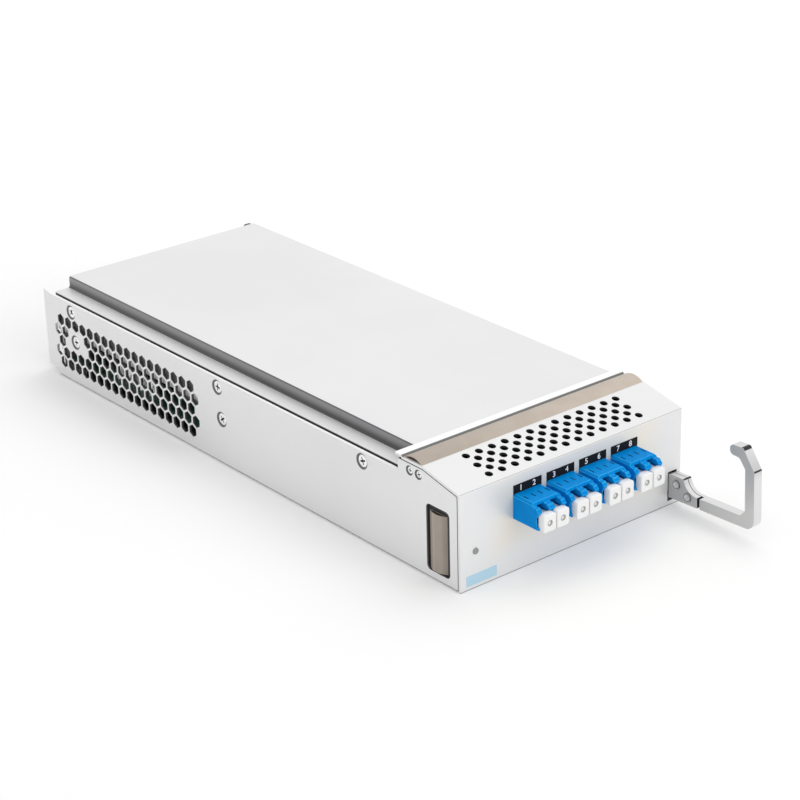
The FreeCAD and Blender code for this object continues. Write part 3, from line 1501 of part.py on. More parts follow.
os.makedirs("parts", exist_ok=True)
for thing, shift_x, shift_z in nodes:
    thing.Shape.exportStep("parts/%s.step" % thing.Label)
    box = thing.Shape.BoundBox
    print("%-24s %2d solids, volume %9.1f, x %.2f..%.2f y %.2f..%.2f z %.2f..%.2f" % (
        thing.Label, len(thing.Shape.Solids), thing.Shape.Volume,
        box.XMin, box.XMax, box.YMin, box.YMax, box.ZMin, box.ZMax))
print(len(nodes), "nodes")
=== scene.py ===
import json
import math

import bmesh
import bpy
import numpy as np
from mathutils import Matrix, Vector

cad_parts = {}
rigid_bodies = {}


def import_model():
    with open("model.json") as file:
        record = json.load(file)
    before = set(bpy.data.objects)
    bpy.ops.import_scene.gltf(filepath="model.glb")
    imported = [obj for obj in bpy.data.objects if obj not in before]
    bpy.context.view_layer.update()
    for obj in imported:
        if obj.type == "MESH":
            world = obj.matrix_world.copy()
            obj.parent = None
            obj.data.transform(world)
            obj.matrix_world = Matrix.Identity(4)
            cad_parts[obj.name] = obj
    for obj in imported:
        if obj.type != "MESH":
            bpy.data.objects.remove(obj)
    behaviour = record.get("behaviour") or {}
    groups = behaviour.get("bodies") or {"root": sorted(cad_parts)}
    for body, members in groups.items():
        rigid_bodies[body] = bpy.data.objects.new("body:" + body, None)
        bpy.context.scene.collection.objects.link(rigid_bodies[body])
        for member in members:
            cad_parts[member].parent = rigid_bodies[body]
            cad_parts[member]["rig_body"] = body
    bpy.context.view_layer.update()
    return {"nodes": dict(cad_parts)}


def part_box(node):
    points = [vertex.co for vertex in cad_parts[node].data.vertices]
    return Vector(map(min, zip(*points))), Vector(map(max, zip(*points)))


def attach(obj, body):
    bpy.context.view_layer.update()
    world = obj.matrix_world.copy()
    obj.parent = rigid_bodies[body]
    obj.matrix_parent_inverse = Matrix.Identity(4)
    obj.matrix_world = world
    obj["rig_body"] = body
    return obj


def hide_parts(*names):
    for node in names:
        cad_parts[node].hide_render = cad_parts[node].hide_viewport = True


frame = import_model()
nodes = frame["nodes"]
scene = bpy.context.scene
mm = 0.001
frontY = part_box("front_bezel")[0].y     # the outer face, from which depths are counted
print("frame loaded,", len(nodes), "nodes")

# Camera, at the photograph's angle and distance
camera = {
    "azimuth": -38.975, "elevation": 24.002, "roll": -1.423,
    "place": (-0.51790, frontY - 0.542195, 0.39218),
    "focalShare": 2.9076,     # focal length over the picture's width
    "sensor": 36.0,
}


def makeCamera(values):
    azimuth, elevation, roll = (math.radians(values[k]) for k in ("azimuth", "elevation", "roll"))
    back = Vector((math.sin(azimuth) * math.cos(elevation),
                   -math.cos(azimuth) * math.cos(elevation), math.sin(elevation)))
    right = back.cross(Vector((0, 0, -1))).normalized()
    up = back.cross(right)
    turnedRight = right * math.cos(roll) + up * math.sin(roll)
    turnedUp = up * math.cos(roll) - right * math.sin(roll)
    data = bpy.data.cameras.new("camera")
    data.sensor_width = values["sensor"]
    data.lens = values["focalShare"] * values["sensor"]
    data.clip_start = 0.01
    data.clip_end = 50
    eye = bpy.data.objects.new("camera", data)
    turn = Matrix((turnedRight, turnedUp, back)).transposed()
    eye.matrix_world = Matrix.Translation(values["place"]) @ turn.to_4x4()
    scene.collection.objects.link(eye)
    scene.camera = eye


makeCamera(camera)
scene.view_settings.view_transform = "Standard"


# A method that adds one Math node, with the socket last where the operator is reflected
def maths(operation, reflected=False):
    def method(self, *others):
        node = self.tree.nodes.new("ShaderNodeMath")
        node.operation = operation
        for slot, value in zip(node.inputs, (*others, self) if reflected else (self, *others)):
            connect(slot, value)
        return Wire(node.outputs[0])
    return method


# A socket that can stand in sums, so shader maths reads as plain expressions
class Wire:
    def __init__(self, socket):
        self.socket = socket
        self.tree = socket.id_data

    __add__, __radd__ = maths("ADD"), maths("ADD", True)
    __sub__, __rsub__ = maths("SUBTRACT"), maths("SUBTRACT", True)
    __mul__, __rmul__ = maths("MULTIPLY"), maths("MULTIPLY", True)
    __truediv__ = maths("DIVIDE")
    over, under = maths("GREATER_THAN"), maths("LESS_THAN")
    most, least = maths("MAXIMUM"), maths("MINIMUM")
    size, sine, rest = maths("ABSOLUTE"), maths("SINE"), maths("FLOORED_MODULO")

    # 0 below low and 1 above high, with a soft rise between
    def ramp(self, low, high):
        node = self.tree.nodes.new("ShaderNodeMapRange")
        node.interpolation_type = "SMOOTHSTEP"
        for name, value in (("Value", self), ("From Min", low), ("From Max", high)):
            connect(node.inputs[name], value)
        return Wire(node.outputs["Result"])


def connect(slot, value):
    if isinstance(value, Wire):
        slot.id_data.links.new(value.socket, slot)
    elif isinstance(value, tuple) and len(value) == 3 and slot.type == "RGBA":
        slot.default_value = (*value, 1.0)
    else:
        slot.default_value = value


# The nodes of one material or of the world
class Finish:
    def __init__(self, owner):
        self.owner = owner
        owner.use_nodes = True
        self.tree = owner.node_tree
        self.tree.nodes.clear()

    # any node: its settings come first, then the values or links of its sockets
    def node(self, kind, settings=None, output=0, **sockets):
        made = self.tree.nodes.new("ShaderNode" + kind)
        for key, value in (settings or {}).items():
            setattr(made, key, value)
        for key, value in sockets.items():
            name = key.replace("_", " ")
            slot = made.inputs[int(name[5:])] if name.startswith("Input") else made.inputs[name]
            connect(slot, value)
        return Wire(made.outputs[output]) if made.outputs else None

    def place(self, *stretch):
        spot = self.node("TexCoord", output="Object")
        if not stretch:
            return spot
        return self.node("Mapping", Vector=spot, Scale=stretch)

    def split(self, vector):
        made = self.tree.nodes.new("ShaderNodeSeparateXYZ")
        connect(made.inputs[0], vector)
        return [Wire(slot) for slot in made.outputs]

    def axes(self):
        return self.split(self.place())

    def noise(self, scale, detail=3.0, spot=None):
        return self.node("TexNoise", Vector=spot or self.place(), Scale=scale, Detail=detail)

    def blend(self, share, first, second):
        made = self.tree.nodes.new("ShaderNodeMix")
        made.data_type = "RGBA"
        for index, value in ((0, share), (6, first), (7, second)):
            connect(made.inputs[index], value)
        return Wire(made.outputs[2])

    def bump(self, height, distance, strength):
        return self.node("Bump", Height=height, Distance=distance, Strength=strength)

    def shade(self, **sockets):
        surface = self.node("BsdfPrincipled", **sockets)
        self.node("OutputMaterial", Surface=surface)
        return self.owner


def newFinish(name):
    return Finish(bpy.data.materials.new(name))


# Sheet steel with a pale matt coat: faint clouds, rolling grain and a satin sheen.
# Cut edges and inner faces are painted dark as painted shade, some rims get a painted
# highlight, a far edge painted shade, and the face near the ports a painted warm tint that
# offsets their blue light.
sheetLook = {
    "colour": (0.83, 0.83, 0.832), "cloud": (0.80, 0.80, 0.804),
    "inside": (0.035, 0.035, 0.036), "paintedHighlight": (0.98, 0.98, 0.98),
    "warm": (0.885, 0.83, 0.725), "farEdge": (0.42, 0.42, 0.42),
    "metal": 0.30, "roughness": 0.40,
}
shell = {     # sizes of the case, from the middle of its underside
    "half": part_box("chassis_tray")[1].x,
    "sideTop": 37.4 * mm, "faceTop": 38.2 * mm, "top": 42.4 * mm,
    "slopeDepth": 19.5 * mm, "stepX": -45.25 * mm, "crownX": 52.8 * mm,
    "wallStep": 33.0 * mm, "floorEnd": 261.9 * mm,
    "wallTop": 36.4 * mm, "flare": 5.0 * mm,     # the side walls end below the ledge
    # the width of the painted shadow line along the foot
    "footShadow": 0.4 * mm,
    "joggle": 30.3 * mm, "strip": 30.9 * mm,     # the bend behind the gasket, and its strip
    # where the flanges' painted shade pales, and where it ends
    "flangePale": (29.0 * mm, 33.0 * mm), "flangeEnd": (23.2 * mm, 24.6 * mm),
}
ports = {     # the row of adapters and the mould slots on them, in millimetres
    "pitch": 15.8, "x": 1.0, "z": 24.5, "halfWidth": 30.4, "halfHeight": 5.5, "glow": 20.0,
    # the mould slots are dark lines of painted shade
    "slotPlaces": (1.6, 5.0), "slotWidth": 0.27, "slotLength": 1.38, "slotDepth": 4.8,
    "slotShadeColour": (0.0, 0.045, 0.16), "top": 29.9,
}


# Painted highlight on the top edges of the tray's side walls
def trayRim(x, y, z):
    rim = z.over(shell["wallTop"] - 0.12 * mm) * y.over(frontY + shell["wallStep"] + 0.2 * mm)
    return rim * x.size().under(shell["half"] - 0.06 * mm)


# Painted shade by depth behind the tray's outer faces, less where the walls' top edges show,
# and a painted shadow line along its foot
def trayInside(x, y, z):
    depth = shell["half"] - x.size()
    skin = depth.ramp(0.02 * mm, 0.09 * mm)
    within = skin * 0.86 + depth.ramp(0.5 * mm, 0.9 * mm) * 0.14
    raised = z.ramp(0.1 * mm, 0.25 * mm) * y.under(frontY + shell["floorEnd"])
    foot = z.under(shell["footShadow"]) * (1.0 - skin) * 0.5
    return within * raised * (1.0 - trayRim(x, y, z)) + foot


# Painted shade by depth behind the face, the slope and the gasket seat, whichever is least,
# a painted shadow line along the foot and a painted shade line in the bend behind the gasket
def bezelInside(x, y, z):
    deep = y - frontY
    climb = (shell["top"] - shell["faceTop"]) / shell["slopeDepth"]
    behindSlope = (deep * climb + shell["faceTop"] - z) * 0.978
    behind = deep.least(behindSlope).least(shell["top"] - z)
    within = behind.ramp(0.06 * mm, 0.16 * mm) * x.size().under(shell["half"] - 0.04 * mm)
    foot = z.under(shell["footShadow"]) * deep.under(0.3 * mm) * 0.55
    joggle = (deep - shell["joggle"]).size().under(0.55 * mm) * z.over(shell["top"] - 0.1 * mm)
    return within.most(foot).most(joggle * 0.8)


# Painted highlight on the raised strip behind the gasket
def bezelStrip(x, y, z):
    return z.over(shell["top"] + 0.35 * mm) * y.over(frontY + shell["strip"])


# Painted shade on the cover's flanges, below its ledge: darkest in the gap to the walls, pale
# lower down
def coverInside(x, y, z):
    low = 1.0 - z.ramp(shell["sideTop"] - 0.70 * mm, shell["sideTop"] - 0.30 * mm)
    pale = (1.0 - z.ramp(*shell["flangePale"])) * 0.16
    return low * (1.0 - pale) * z.ramp(*shell["flangeEnd"])


# Nearness to the row of adapters, where a painted warm tint offsets the blue light they
# bounce onto the face
def nearPorts(x, y, z):
    beside = (x / mm - ports["x"]).size() - ports["halfWidth"]
    apart = beside.most((z / mm - ports["z"]).size() - ports["halfHeight"])
    near = (1.0 - apart.ramp(0.0, ports["glow"])) * y.under(frontY + 0.3 * mm)
    return near * near


# Three functions of a place, for the inner faces, highlights and warmth, give shares of
# painted shade, painted highlight and a painted warm tint. The cover's step gets a painted
# reflection of dark ground under a painted highlight on its rim, and painted shade on its far
# edge.
def makeSheet(name, inside=None, step=False, paintedHighlight=None, warm=None):
    p = sheetLook
    f = newFinish(name)
    clouds = f.noise(14.0, 4.0).ramp(0.35, 0.7)
    grain = f.noise(1.0, 2.0, f.place(2600.0, 90.0, 2600.0))
    colour = f.blend(clouds, p["colour"], p["cloud"])
    roughness = p["roughness"] + (grain - 0.5) * 0.10 + clouds * 0.04
    metal = p["metal"]
    x, y, z = f.axes()
    if step:
        band = x.under(shell["stepX"] + 0.7 * mm) * z.over(shell["sideTop"] + 0.05 * mm)
        climb = (z - shell["sideTop"]) / (shell["top"] - shell["sideTop"])
        tone = climb.ramp(0.03, 0.75) * 0.19 + 0.07 - climb.ramp(0.86, 0.93) * 0.16
        tone = tone + climb.ramp(0.955, 0.985) * 0.85 + (y + 0.1).ramp(-0.05, 0.25) * 0.03
        dark = f.node("CombineColor", Red=tone, Green=tone, Blue=tone * 1.02)
        colour = f.blend(band, colour, dark)
        far = x.over(shell["crownX"] - 0.45 * mm) * z.over(shell["top"] - 0.3 * mm)
        colour = f.blend(far, colour, p["farEdge"])
    if warm:
        colour = f.blend(warm(x, y, z), colour, p["warm"])
    if inside:
        hidden = inside(x, y, z)
        colour = f.blend(hidden, colour, p["inside"])
        roughness = roughness + hidden * 0.2
        metal = metal - hidden * 0.25
    if paintedHighlight:
        colour = f.blend(paintedHighlight(x, y, z), colour, p["paintedHighlight"])
    return f.shade(Base_Color=colour, Roughness=roughness, Metallic=metal,
                   Normal=f.bump(grain, 0.00002, 0.25))


# Steel of the lever: broad faces ground dull, edges polished; the broad faces' darker colour
# is partly painted shade and the edges' paler colour partly painted highlight. Its creases
# and the gap between its two leaves are painted dark as painted shade, and a dark line marks
# the seam between them. Places are (reach, rise) in millimetres from the pivot, along the
# lever and up. A crease is a place and half its width, and so is the gap.
leverLook = {
    "face": (0.565, 0.565, 0.565), "faceCloud": (0.52, 0.52, 0.52),
    "edge": (0.76, 0.76, 0.76), "creaseShade": (0.03, 0.03, 0.031), "thick": 4.1,
    "creases": ((41.0, 27.2, 0.95), (46.4, 19.2, 0.34), (11.6, 5.6, 0.45)),
    "gap": (19.0, 0.66), "neck": 19.6, "seam": 2.35,
    "pivot": (3.6, 7.6), "tilt": math.radians(2.2),
}


def leverPlace(y, z):
    tilt = leverLook["tilt"]
    behind = y - (frontY + leverLook["pivot"][0] * mm)
    above = z - leverLook["pivot"][1] * mm
    sine, cosine = math.sin(tilt) / mm, math.cos(tilt) / mm
    return above * sine - behind * cosine, behind * sine + above * cosine


def makeLeverSteel():
    p = leverLook
    f = newFinish("lever_steel")
    low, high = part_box("lever_handle")
    x, y, z = f.axes()
    reach, rise = leverPlace(y, z)
    brush = f.noise(1.0, 3.0, f.place(3000.0, 120.0, 3000.0))
    clouds = f.noise(60.0, 3.0).ramp(0.3, 0.75)
    half = p["thick"] / 2
    off = (x - (low.x + high.x) / 2).size() / mm
    broad = off.ramp(half - 0.10, half - 0.04)
    ground = f.blend(clouds, p["face"], p["faceCloud"])
    colour = f.blend(broad, p["edge"], ground)
    creaseShade = 0.0
    for along, above, wide in p["creases"]:
        apart = (reach - along).size().most((rise - above).size())
        creaseShade = apart.under(wide) * off.under(half - 0.12) + creaseShade
    end, wide = p["gap"]
    gap = (reach - end).size().under(wide) * off.under(half - 0.05)
    gap = gap * x.under(low.x + (p["seam"] + 0.02) * mm)
    seam = (x - low.x - p["seam"] * mm).size().under(0.14 * mm) * reach.under(end)
    dark = (creaseShade + gap + seam).least(1.0)
    neck = 1.0 - reach.ramp(p["neck"] - 1.0, p["neck"] + 1.0)
    return f.shade(Base_Color=f.blend(dark, colour, p["creaseShade"]),
                   Roughness=brush * 0.10 + 0.12 + broad * 0.14 + neck * 0.12 + dark * 0.3,
                   Metallic=1.0 - dark * 0.6, Normal=f.bump(brush, 0.00001, 0.3))


# Rivet heads: the u of the map is the radius in millimetres. The groove and the head's
# side are painted dark as painted shade.
def makeRivetSteel():
    f = newFinish("rivet_steel")
    radius = f.split(f.node("UVMap"))[0]
    grooveShade = (radius - 1.47).size().under(0.11).most(radius.over(1.80))
    scratches = f.noise(1.0, 3.0, f.place(1100.0, 1100.0, 1100.0))
    colour = f.blend(grooveShade, (0.66, 0.66, 0.665), (0.05, 0.05, 0.05))
    return f.shade(Base_Color=colour, Roughness=0.20 + scratches * 0.14 + grooveShade * 0.3,
                   Metallic=1.0 - grooveShade * 0.5, Normal=f.bump(scratches, 0.000004, 0.4))


# Machined metal, with fine marks and broader spots of its other shade
def makeMetal(name, colour, shade, roughness, scale, depth):
    f = newFinish(name)
    marks = f.noise(scale, 4.0)
    spots = f.noise(scale * 0.07, 3.0).ramp(0.35, 0.7)
    return f.shade(Base_Color=f.blend(spots, colour, shade),
                   Roughness=roughness + (marks - 0.5) * 0.16, Metallic=1.0,
                   Normal=f.bump(marks, depth, 0.4))


# Screw heads: the u of the map is the depth below the head's top, in millimetres, and the
# v the radius as a share of the head's. Below the top, in the cross recess and the groove
# round the head, the colour is painted dark as painted shade.
def makeScrewSteel():
    f = newFinish("screw_steel")
    below, radius = f.split(f.node("UVMap"))[:2]
    deep = below.ramp(0.07, 0.26)
    turning = (radius * 90.0).sine() * 0.5 + 0.5
    scratches = f.noise(1.0, 3.0, f.place(900.0, 900.0, 900.0))
    colour = f.blend(deep, (0.90, 0.90, 0.90), (0.035, 0.035, 0.035))
    return f.shade(Base_Color=colour, Roughness=0.22 + scratches * 0.12 + deep * 0.25,
                   Metallic=1.0 - deep * 0.5, Normal=f.bump(turning, 0.000004, 0.5))


# Woven conductive cloth: two crossing sets of threads. It is darker towards the left, and in
# the slot of the side wall it takes painted shade, with painted shade in a fold and a painted
# highlight beside it. Those are (place, half width, depth of tone), in millimetres from the
# slot's front.
gasketLook = {
    "threads": ((0.54, 0.463, 0.39), (0.62, 0.545, 0.47)), "cloud": (0.495, 0.42, 0.35),
    "leftToneAndShade": (0.20, 0.17, 0.145), "leftToneShare": 0.29, "leftToneSpan": (-54 * mm, 35 * mm),
    "slotFront": 7.9, "slotTop": 30 * mm, "slotShadeShare": 0.33,
    "fold": (7.0, 0.35, 0.14), "shine": (5.8, 0.5, 0.12),
}


def makeGasketCloth():
    p = gasketLook
    f = newFinish("gasket_cloth")
    x, y, z = f.axes()
    along = ((x + z) * 9000.0).sine()
    across = ((y + z * 0.35) * 9000.0).sine()
    weave = along.size() * 0.5 + across.size() * 0.5
    over = (along * across).ramp(-0.25, 0.25)
    clouds = f.noise(120.0, 4.0).ramp(0.3, 0.75)
    colour = f.blend(clouds * 0.6, f.blend(over, *p["threads"]), p["cloud"])
    inside = (y - frontY) / mm - p["slotFront"]
    fold, shine = ((inside - place).size().under(half) * tone
                   for place, half, tone in (p["fold"], p["shine"]))
    fold = (fold - shine + p["slotShadeShare"] - inside.ramp(0.8, 2.4) * 0.14) * z.under(p["slotTop"])
    leftToneAndShade = (1.0 - x.ramp(*p["leftToneSpan"])) * p["leftToneShare"] + fold
    colour = f.blend(leftToneAndShade, colour, p["leftToneAndShade"])
    return f.shade(Base_Color=colour, Roughness=0.56 - over * 0.08, Metallic=0.25,
                   Normal=f.bump(weave, 0.00005, 0.45))


# Moulded plastic: a fine spark texture, a little colour drift and a soft gloss
def makePlastic(name, colour, shade, roughness, texture=0.00002, through=0.0, gloss=0.5,
                paintedShade=None):
    f = newFinish(name)
    spark = f.noise(4200.0, 2.0)
    drift = f.noise(90.0, 3.0).ramp(0.3, 0.75)
    base = f.blend(drift, colour, shade)
    if paintedShade:
        base = paintedShade(f, base)
    sockets = {"Base_Color": base, "Specular_IOR_Level": gloss,
               "Roughness": roughness + (spark - 0.5) * 0.12,
               "Normal": f.bump(spark, texture, 0.25)}
    if through:
        sockets.update(Subsurface_Weight=through, Subsurface_Scale=1.0,
                       Subsurface_Radius=(0.0012, 0.0011, 0.0010))
    return f.shade(**sockets)


# Painted shade for the mould slots on the adapters' tops: dark lines, two on each side of
# every adapter's middle
def slotMarks(f, base):
    x, y, z = f.axes()
    pitch = ports["pitch"]
    beside = ((x / mm + (2 * pitch - ports["x"])).rest(pitch) - pitch / 2).size()
    inner, outer = ((beside - place).size().under(ports["slotWidth"])
                    for place in ports["slotPlaces"])
    along = ((y - frontY) / mm + ports["slotDepth"]).size().under(ports["slotLength"])
    paintedShade = (inner + outer) * along * z.over(ports["top"] * mm)
    return f.blend(paintedShade, base, ports["slotShadeColour"])


# The bore of a dust plug: the u of the map is the radius, the v the depth, in millimetres.
# The bore is painted grey as painted shade, a paler grey on the pin's top.
def boreMarks(f, base):
    radius, deep = f.split(f.node("UVMap"))[:2]
    base = f.blend(radius.under(1.20) * deep.over(0.05), base, (0.64, 0.64, 0.635))
    return f.blend(radius.under(0.58) * deep.under(0.5), base, (0.80, 0.80, 0.795))


# Printed board: solder mask over a maze of traces, with bare pads
def makeBoardGreen():
    f = newFinish("board_green")
    x, y = f.axes()[:2]
    cells = f.node("TexVoronoi", {"distance": "CHEBYCHEV", "feature": "F1"},
                   output="Position", Vector=f.place(1.0, 1.0, 0.0), Scale=150.0)
    east, north = f.split(cells)[:2]
    pick = east * 977.0 + north * 613.0
    turn = pick.rest(1.0).over(0.5)
    run = x * turn + y * (1.0 - turn)
    trace = (run * 5200.0).sine().ramp(0.15, 0.5) * f.noise(55.0, 2.0).ramp(0.42, 0.5)
    colour = f.blend(trace, (0.012, 0.095, 0.052), (0.03, 0.17, 0.09))
    return f.shade(Base_Color=colour, Roughness=0.34 - trace * 0.08,
                   Normal=f.bump(trace, 0.00004, 0.5))


# Small parts on the board take their colour from the piece's own attribute
def makePartBodies():
    f = newFinish("part_bodies")
    tint = f.node("Attribute", {"attribute_name": "tint"}, output="Color")
    speck = f.noise(3000.0, 2.0)
    metal = f.node("Attribute", {"attribute_name": "metal"}, output="Fac")
    return f.shade(Base_Color=f.blend(speck * 0.25, tint, (0.02, 0.02, 0.02)),
                   Roughness=0.42 + speck * 0.2 - metal * 0.18, Metallic=metal,
                   Normal=f.bump(speck, 0.00002, 0.3))


# Plain plastics and metals: colour, its other shade and roughness, and for a metal how
# coarse and how deep its marks are
plastics = {
    "ceramic": ((0.83, 0.82, 0.79), (0.80, 0.79, 0.76), 0.22),
    # black foam, which also stands in for the shade inside the gaskets' ends
    "foam_core_and_shade": ((0.018, 0.018, 0.019), (0.026, 0.026, 0.027), 0.85),
    "label_blue": ((0.46, 0.67, 0.80), (0.44, 0.65, 0.785), 0.50),
    "digit_white": ((0.97, 0.97, 0.97), (0.95, 0.95, 0.95), 0.5),
    "light_pipe": ((0.30, 0.31, 0.31), (0.26, 0.27, 0.27), 0.18),
    "led_body": ((0.80, 0.80, 0.72), (0.76, 0.76, 0.68), 0.3),
    "chip_black": ((0.016, 0.016, 0.018), (0.022, 0.022, 0.024), 0.5),
    "spool_black": ((0.02, 0.02, 0.021), (0.03, 0.03, 0.031), 0.42),
    "socket_grey": ((0.055, 0.057, 0.06), (0.07, 0.072, 0.075), 0.45),
}
metals = {
    "housing_alloy": ((0.62, 0.62, 0.63), (0.55, 0.55, 0.57), 0.42, 900.0, 0.00003),
    "sink_alloy": ((0.50, 0.51, 0.53), (0.43, 0.44, 0.46), 0.36, 1400.0, 0.00002),
    "can_alloy": ((0.72, 0.72, 0.73), (0.66, 0.66, 0.68), 0.25, 1100.0, 0.00001),
    "brass_pin": ((0.78, 0.57, 0.25), (0.70, 0.49, 0.20), 0.24, 1000.0, 0.00001),
}
finishes = {
    "plated_steel": makeSheet("plated_steel"),
    "tray_steel": makeSheet("tray_steel", trayInside, paintedHighlight=trayRim),
    "bezel_steel": makeSheet("bezel_steel", bezelInside, paintedHighlight=bezelStrip, warm=nearPorts),
    "cover_steel": makeSheet("cover_steel", coverInside, True),
    "lever_steel": makeLeverSteel(),
    "rivet_steel": makeRivetSteel(),
    "screw_steel": makeScrewSteel(),
    "gasket_cloth": makeGasketCloth(),
    "adapter_blue": makePlastic("adapter_blue", (0.0, 0.262, 0.71), (0.0, 0.235, 0.655), 0.42,
                                gloss=0.05, paintedShade=slotMarks),
    # painted highlight: a paler, glossier blue for the adapters' bevelled edges
    "adapter_edge_highlight": makePlastic("adapter_edge_highlight", (0.02, 0.48, 0.90), (0.01, 0.44, 0.86), 0.30,
                                gloss=0.4, paintedShade=slotMarks),
    "plug_white": makePlastic("plug_white", (0.87, 0.87, 0.865), (0.85, 0.85, 0.845), 0.38,
                              0.00001, 0.15, paintedShade=boreMarks),
    "label_black": makePlastic("label_black", (0.008, 0.008, 0.009), (0.011, 0.011, 0.012), 0.6,
                               gloss=0.15),
    "board_green": makeBoardGreen(),
    "part_bodies": makePartBodies(),
}
finishes.update((name, makePlastic(name, *look)) for name, look in plastics.items())
finishes.update((name, makeMetal(name, *look)) for name, look in metals.items())
print("finishes made:", len(finishes))


# Studio: a pale floor, a white surround and two broad soft lamps. In metal the surround is
# a little dimmer low down and on its left. The floor is painted warmer under the ports, a
# painted tint that offsets the blue light they bounce there, and fades to white far from the
# part, so that no horizon shows.
studio = {
    "world": 0.80, "dimLow": 0.22, "dimLeft": 0.16,
    "floorColour": (0.92, 0.92, 0.92), "floorWarm": (0.926, 0.918, 0.895), "floorLift": 0.08,
    "floorReach": 6.0, "floorLevel": -0.02 * mm, "floorFade": (0.7, 2.2),
    "patchHalf": 26 * mm, "patchFront": 14 * mm, "patchEdge": (6.0, 62.0),
    "lamps": (
        ("key_lamp", (1.0, 0.4, 1.6), (0.0, 0.0, 0.0), 1.9, 9.0),
        ("front_lamp", (0.5, -2.0, 0.9), (0.0, -0.1, 0.0), 1.6, 10.0),
    ),
}


# Whether a ray comes from the camera, and whether from a mirror or a clear thing
def rays(f):
    seen, glossy, clear = (f.node("LightPath", output="Is %s Ray" % kind)
                           for kind in ("Camera", "Glossy", "Transmission"))
    return seen, glossy.most(clear)


def makeWorld():
    world = bpy.data.worlds.new("studio")
    scene.world = world
    f = Finish(world)
    seen, mirrored = rays(f)
    way = f.split(f.node("TexCoord", output="Generated"))
    low = 1.0 - way[2].ramp(0.0, 0.5)
    left = 1.0 - way[0].ramp(-1.0, 0.2)
    dim = low * studio["dimLow"] + left * studio["dimLeft"]
    strength = (1.0 - mirrored) * studio["world"] + mirrored * (1.0 - dim)
    strength = strength * (1.0 - seen) + seen
    back = f.node("Background", Color=(1.0, 1.0, 1.0), Strength=strength)
    f.node("OutputWorld", Surface=back)


def makeFloor():
    p = studio
    mesh = bpy.data.meshes.new("floor")
    reach, level = p["floorReach"], p["floorLevel"]
    corners = [(reach * x, reach * y, level) for x, y in ((-1, -1), (1, -1), (1, 1), (-1, 1))]
    mesh.from_pydata(corners, [], [(0, 1, 2, 3)])
    floor = bpy.data.objects.new("floor", mesh)
    scene.collection.objects.link(floor)
    f = newFinish("floor")
    seen, mirrored = rays(f)
    shown = seen.most(mirrored)
    speck = f.noise(300.0, 2.0)
    x, y = f.axes()[:2]
    # painted warm tint under the ports, offsetting the blue light they bounce onto the floor
    apart = (x.size() - p["patchHalf"]).most(0.0) + (y - frontY + p["patchFront"]).size()
    patch = 1.0 - (apart / mm).ramp(*p["patchEdge"])
    colour = f.blend(patch, p["floorColour"], p["floorWarm"])
    diffuse = f.node("BsdfDiffuse", Color=colour, Roughness=0.3 + speck * 0.1)
    glow = f.node("Emission", Color=(1.0, 1.0, 1.0), Strength=shown * p["floorLift"])
    both = f.node("AddShader", Input0=diffuse, Input1=glow)
    distance = f.node("VectorMath", {"operation": "LENGTH"}, output="Value", Input0=f.place())
    far = distance.ramp(*p["floorFade"]) * seen
    white = f.node("Emission", Color=(1.0, 1.0, 1.0), Strength=1.0)
    f.node("OutputMaterial", Surface=f.node("MixShader", Input0=far, Input1=both, Input2=white))
    mesh.materials.append(f.owner)


def makeLamps():
    for name, place, target, size, power in studio["lamps"]:
        data = bpy.data.lights.new(name, "AREA")
        data.shape = "DISK"
        data.size = size
        data.energy = power
        lamp = bpy.data.objects.new(name, data)
        lamp.location = place
        aim = Vector(target) - Vector(place)
        lamp.rotation_euler = aim.to_track_quat("-Z", "Y").to_euler()
        lamp.visible_glossy = False
        lamp.visible_camera = False
        scene.collection.objects.link(lamp)


makeWorld()
makeFloor()
makeLamps()
print("studio made")


# A piece rides on its body, with its finish and the CAD nodes it stands in for
def addPiece(name, mesh, finish, body, stands=()):
    piece = bpy.data.objects.new(name, mesh)
    scene.collection.objects.link(piece)
    mesh.materials.clear()
    mesh.materials.append(finishes[finish])
    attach(piece, body)
    if stands:
        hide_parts(*stands)
    return piece


# Corners merged and curves smooth. A CAD mesh has its flat triangles joined, and a new mesh
# has its faces turned outward.
def tidyMesh(mesh, sharp, fromCad=False):
    work = bmesh.new()
    work.from_mesh(mesh)
    bmesh.ops.remove_doubles(work, verts=work.verts, dist=2e-6)
    bmesh.ops.dissolve_degenerate(work, edges=work.edges, dist=1e-7)
    if fromCad:
        bmesh.ops.dissolve_limit(work, angle_limit=math.radians(0.4), verts=work.verts,
                                 edges=work.edges)
    else:
        bmesh.ops.recalc_face_normals(work, faces=work.faces)
    work.to_mesh(mesh)
    work.free()
    mesh.shade_smooth()
    mesh.set_sharp_from_angle(angle=math.radians(sharp))
    return mesh


def spotsOf(mesh):
    spots = np.zeros(3 * len(mesh.vertices))
    mesh.vertices.foreach_get("co", spots)
    return spots.reshape(-1, 3)


# Sharp edges that run across, along x, are rounded in full and the others by a share
def weighEdges(mesh, share):
    count = len(mesh.edges)
    ends = np.zeros(2 * count, dtype=np.int64)
    mesh.edges.foreach_get("vertices", ends)
    spots = spotsOf(mesh)[ends.reshape(-1, 2)]
    run = spots[:, 1] - spots[:, 0]
    across = np.abs(run[:, 0]) > 0.98 * np.linalg.norm(run, axis=1)
    sharp = np.zeros(count, dtype=bool)
    mesh.attributes["sharp_edge"].data.foreach_get("value", sharp)
    weights = np.where(sharp, np.where(across, 1.0, share), 0.0)
    layer = mesh.attributes.new("bevel_weight_edge", "FLOAT", "EDGE")
    layer.data.foreach_set("value", weights.astype(np.float32))


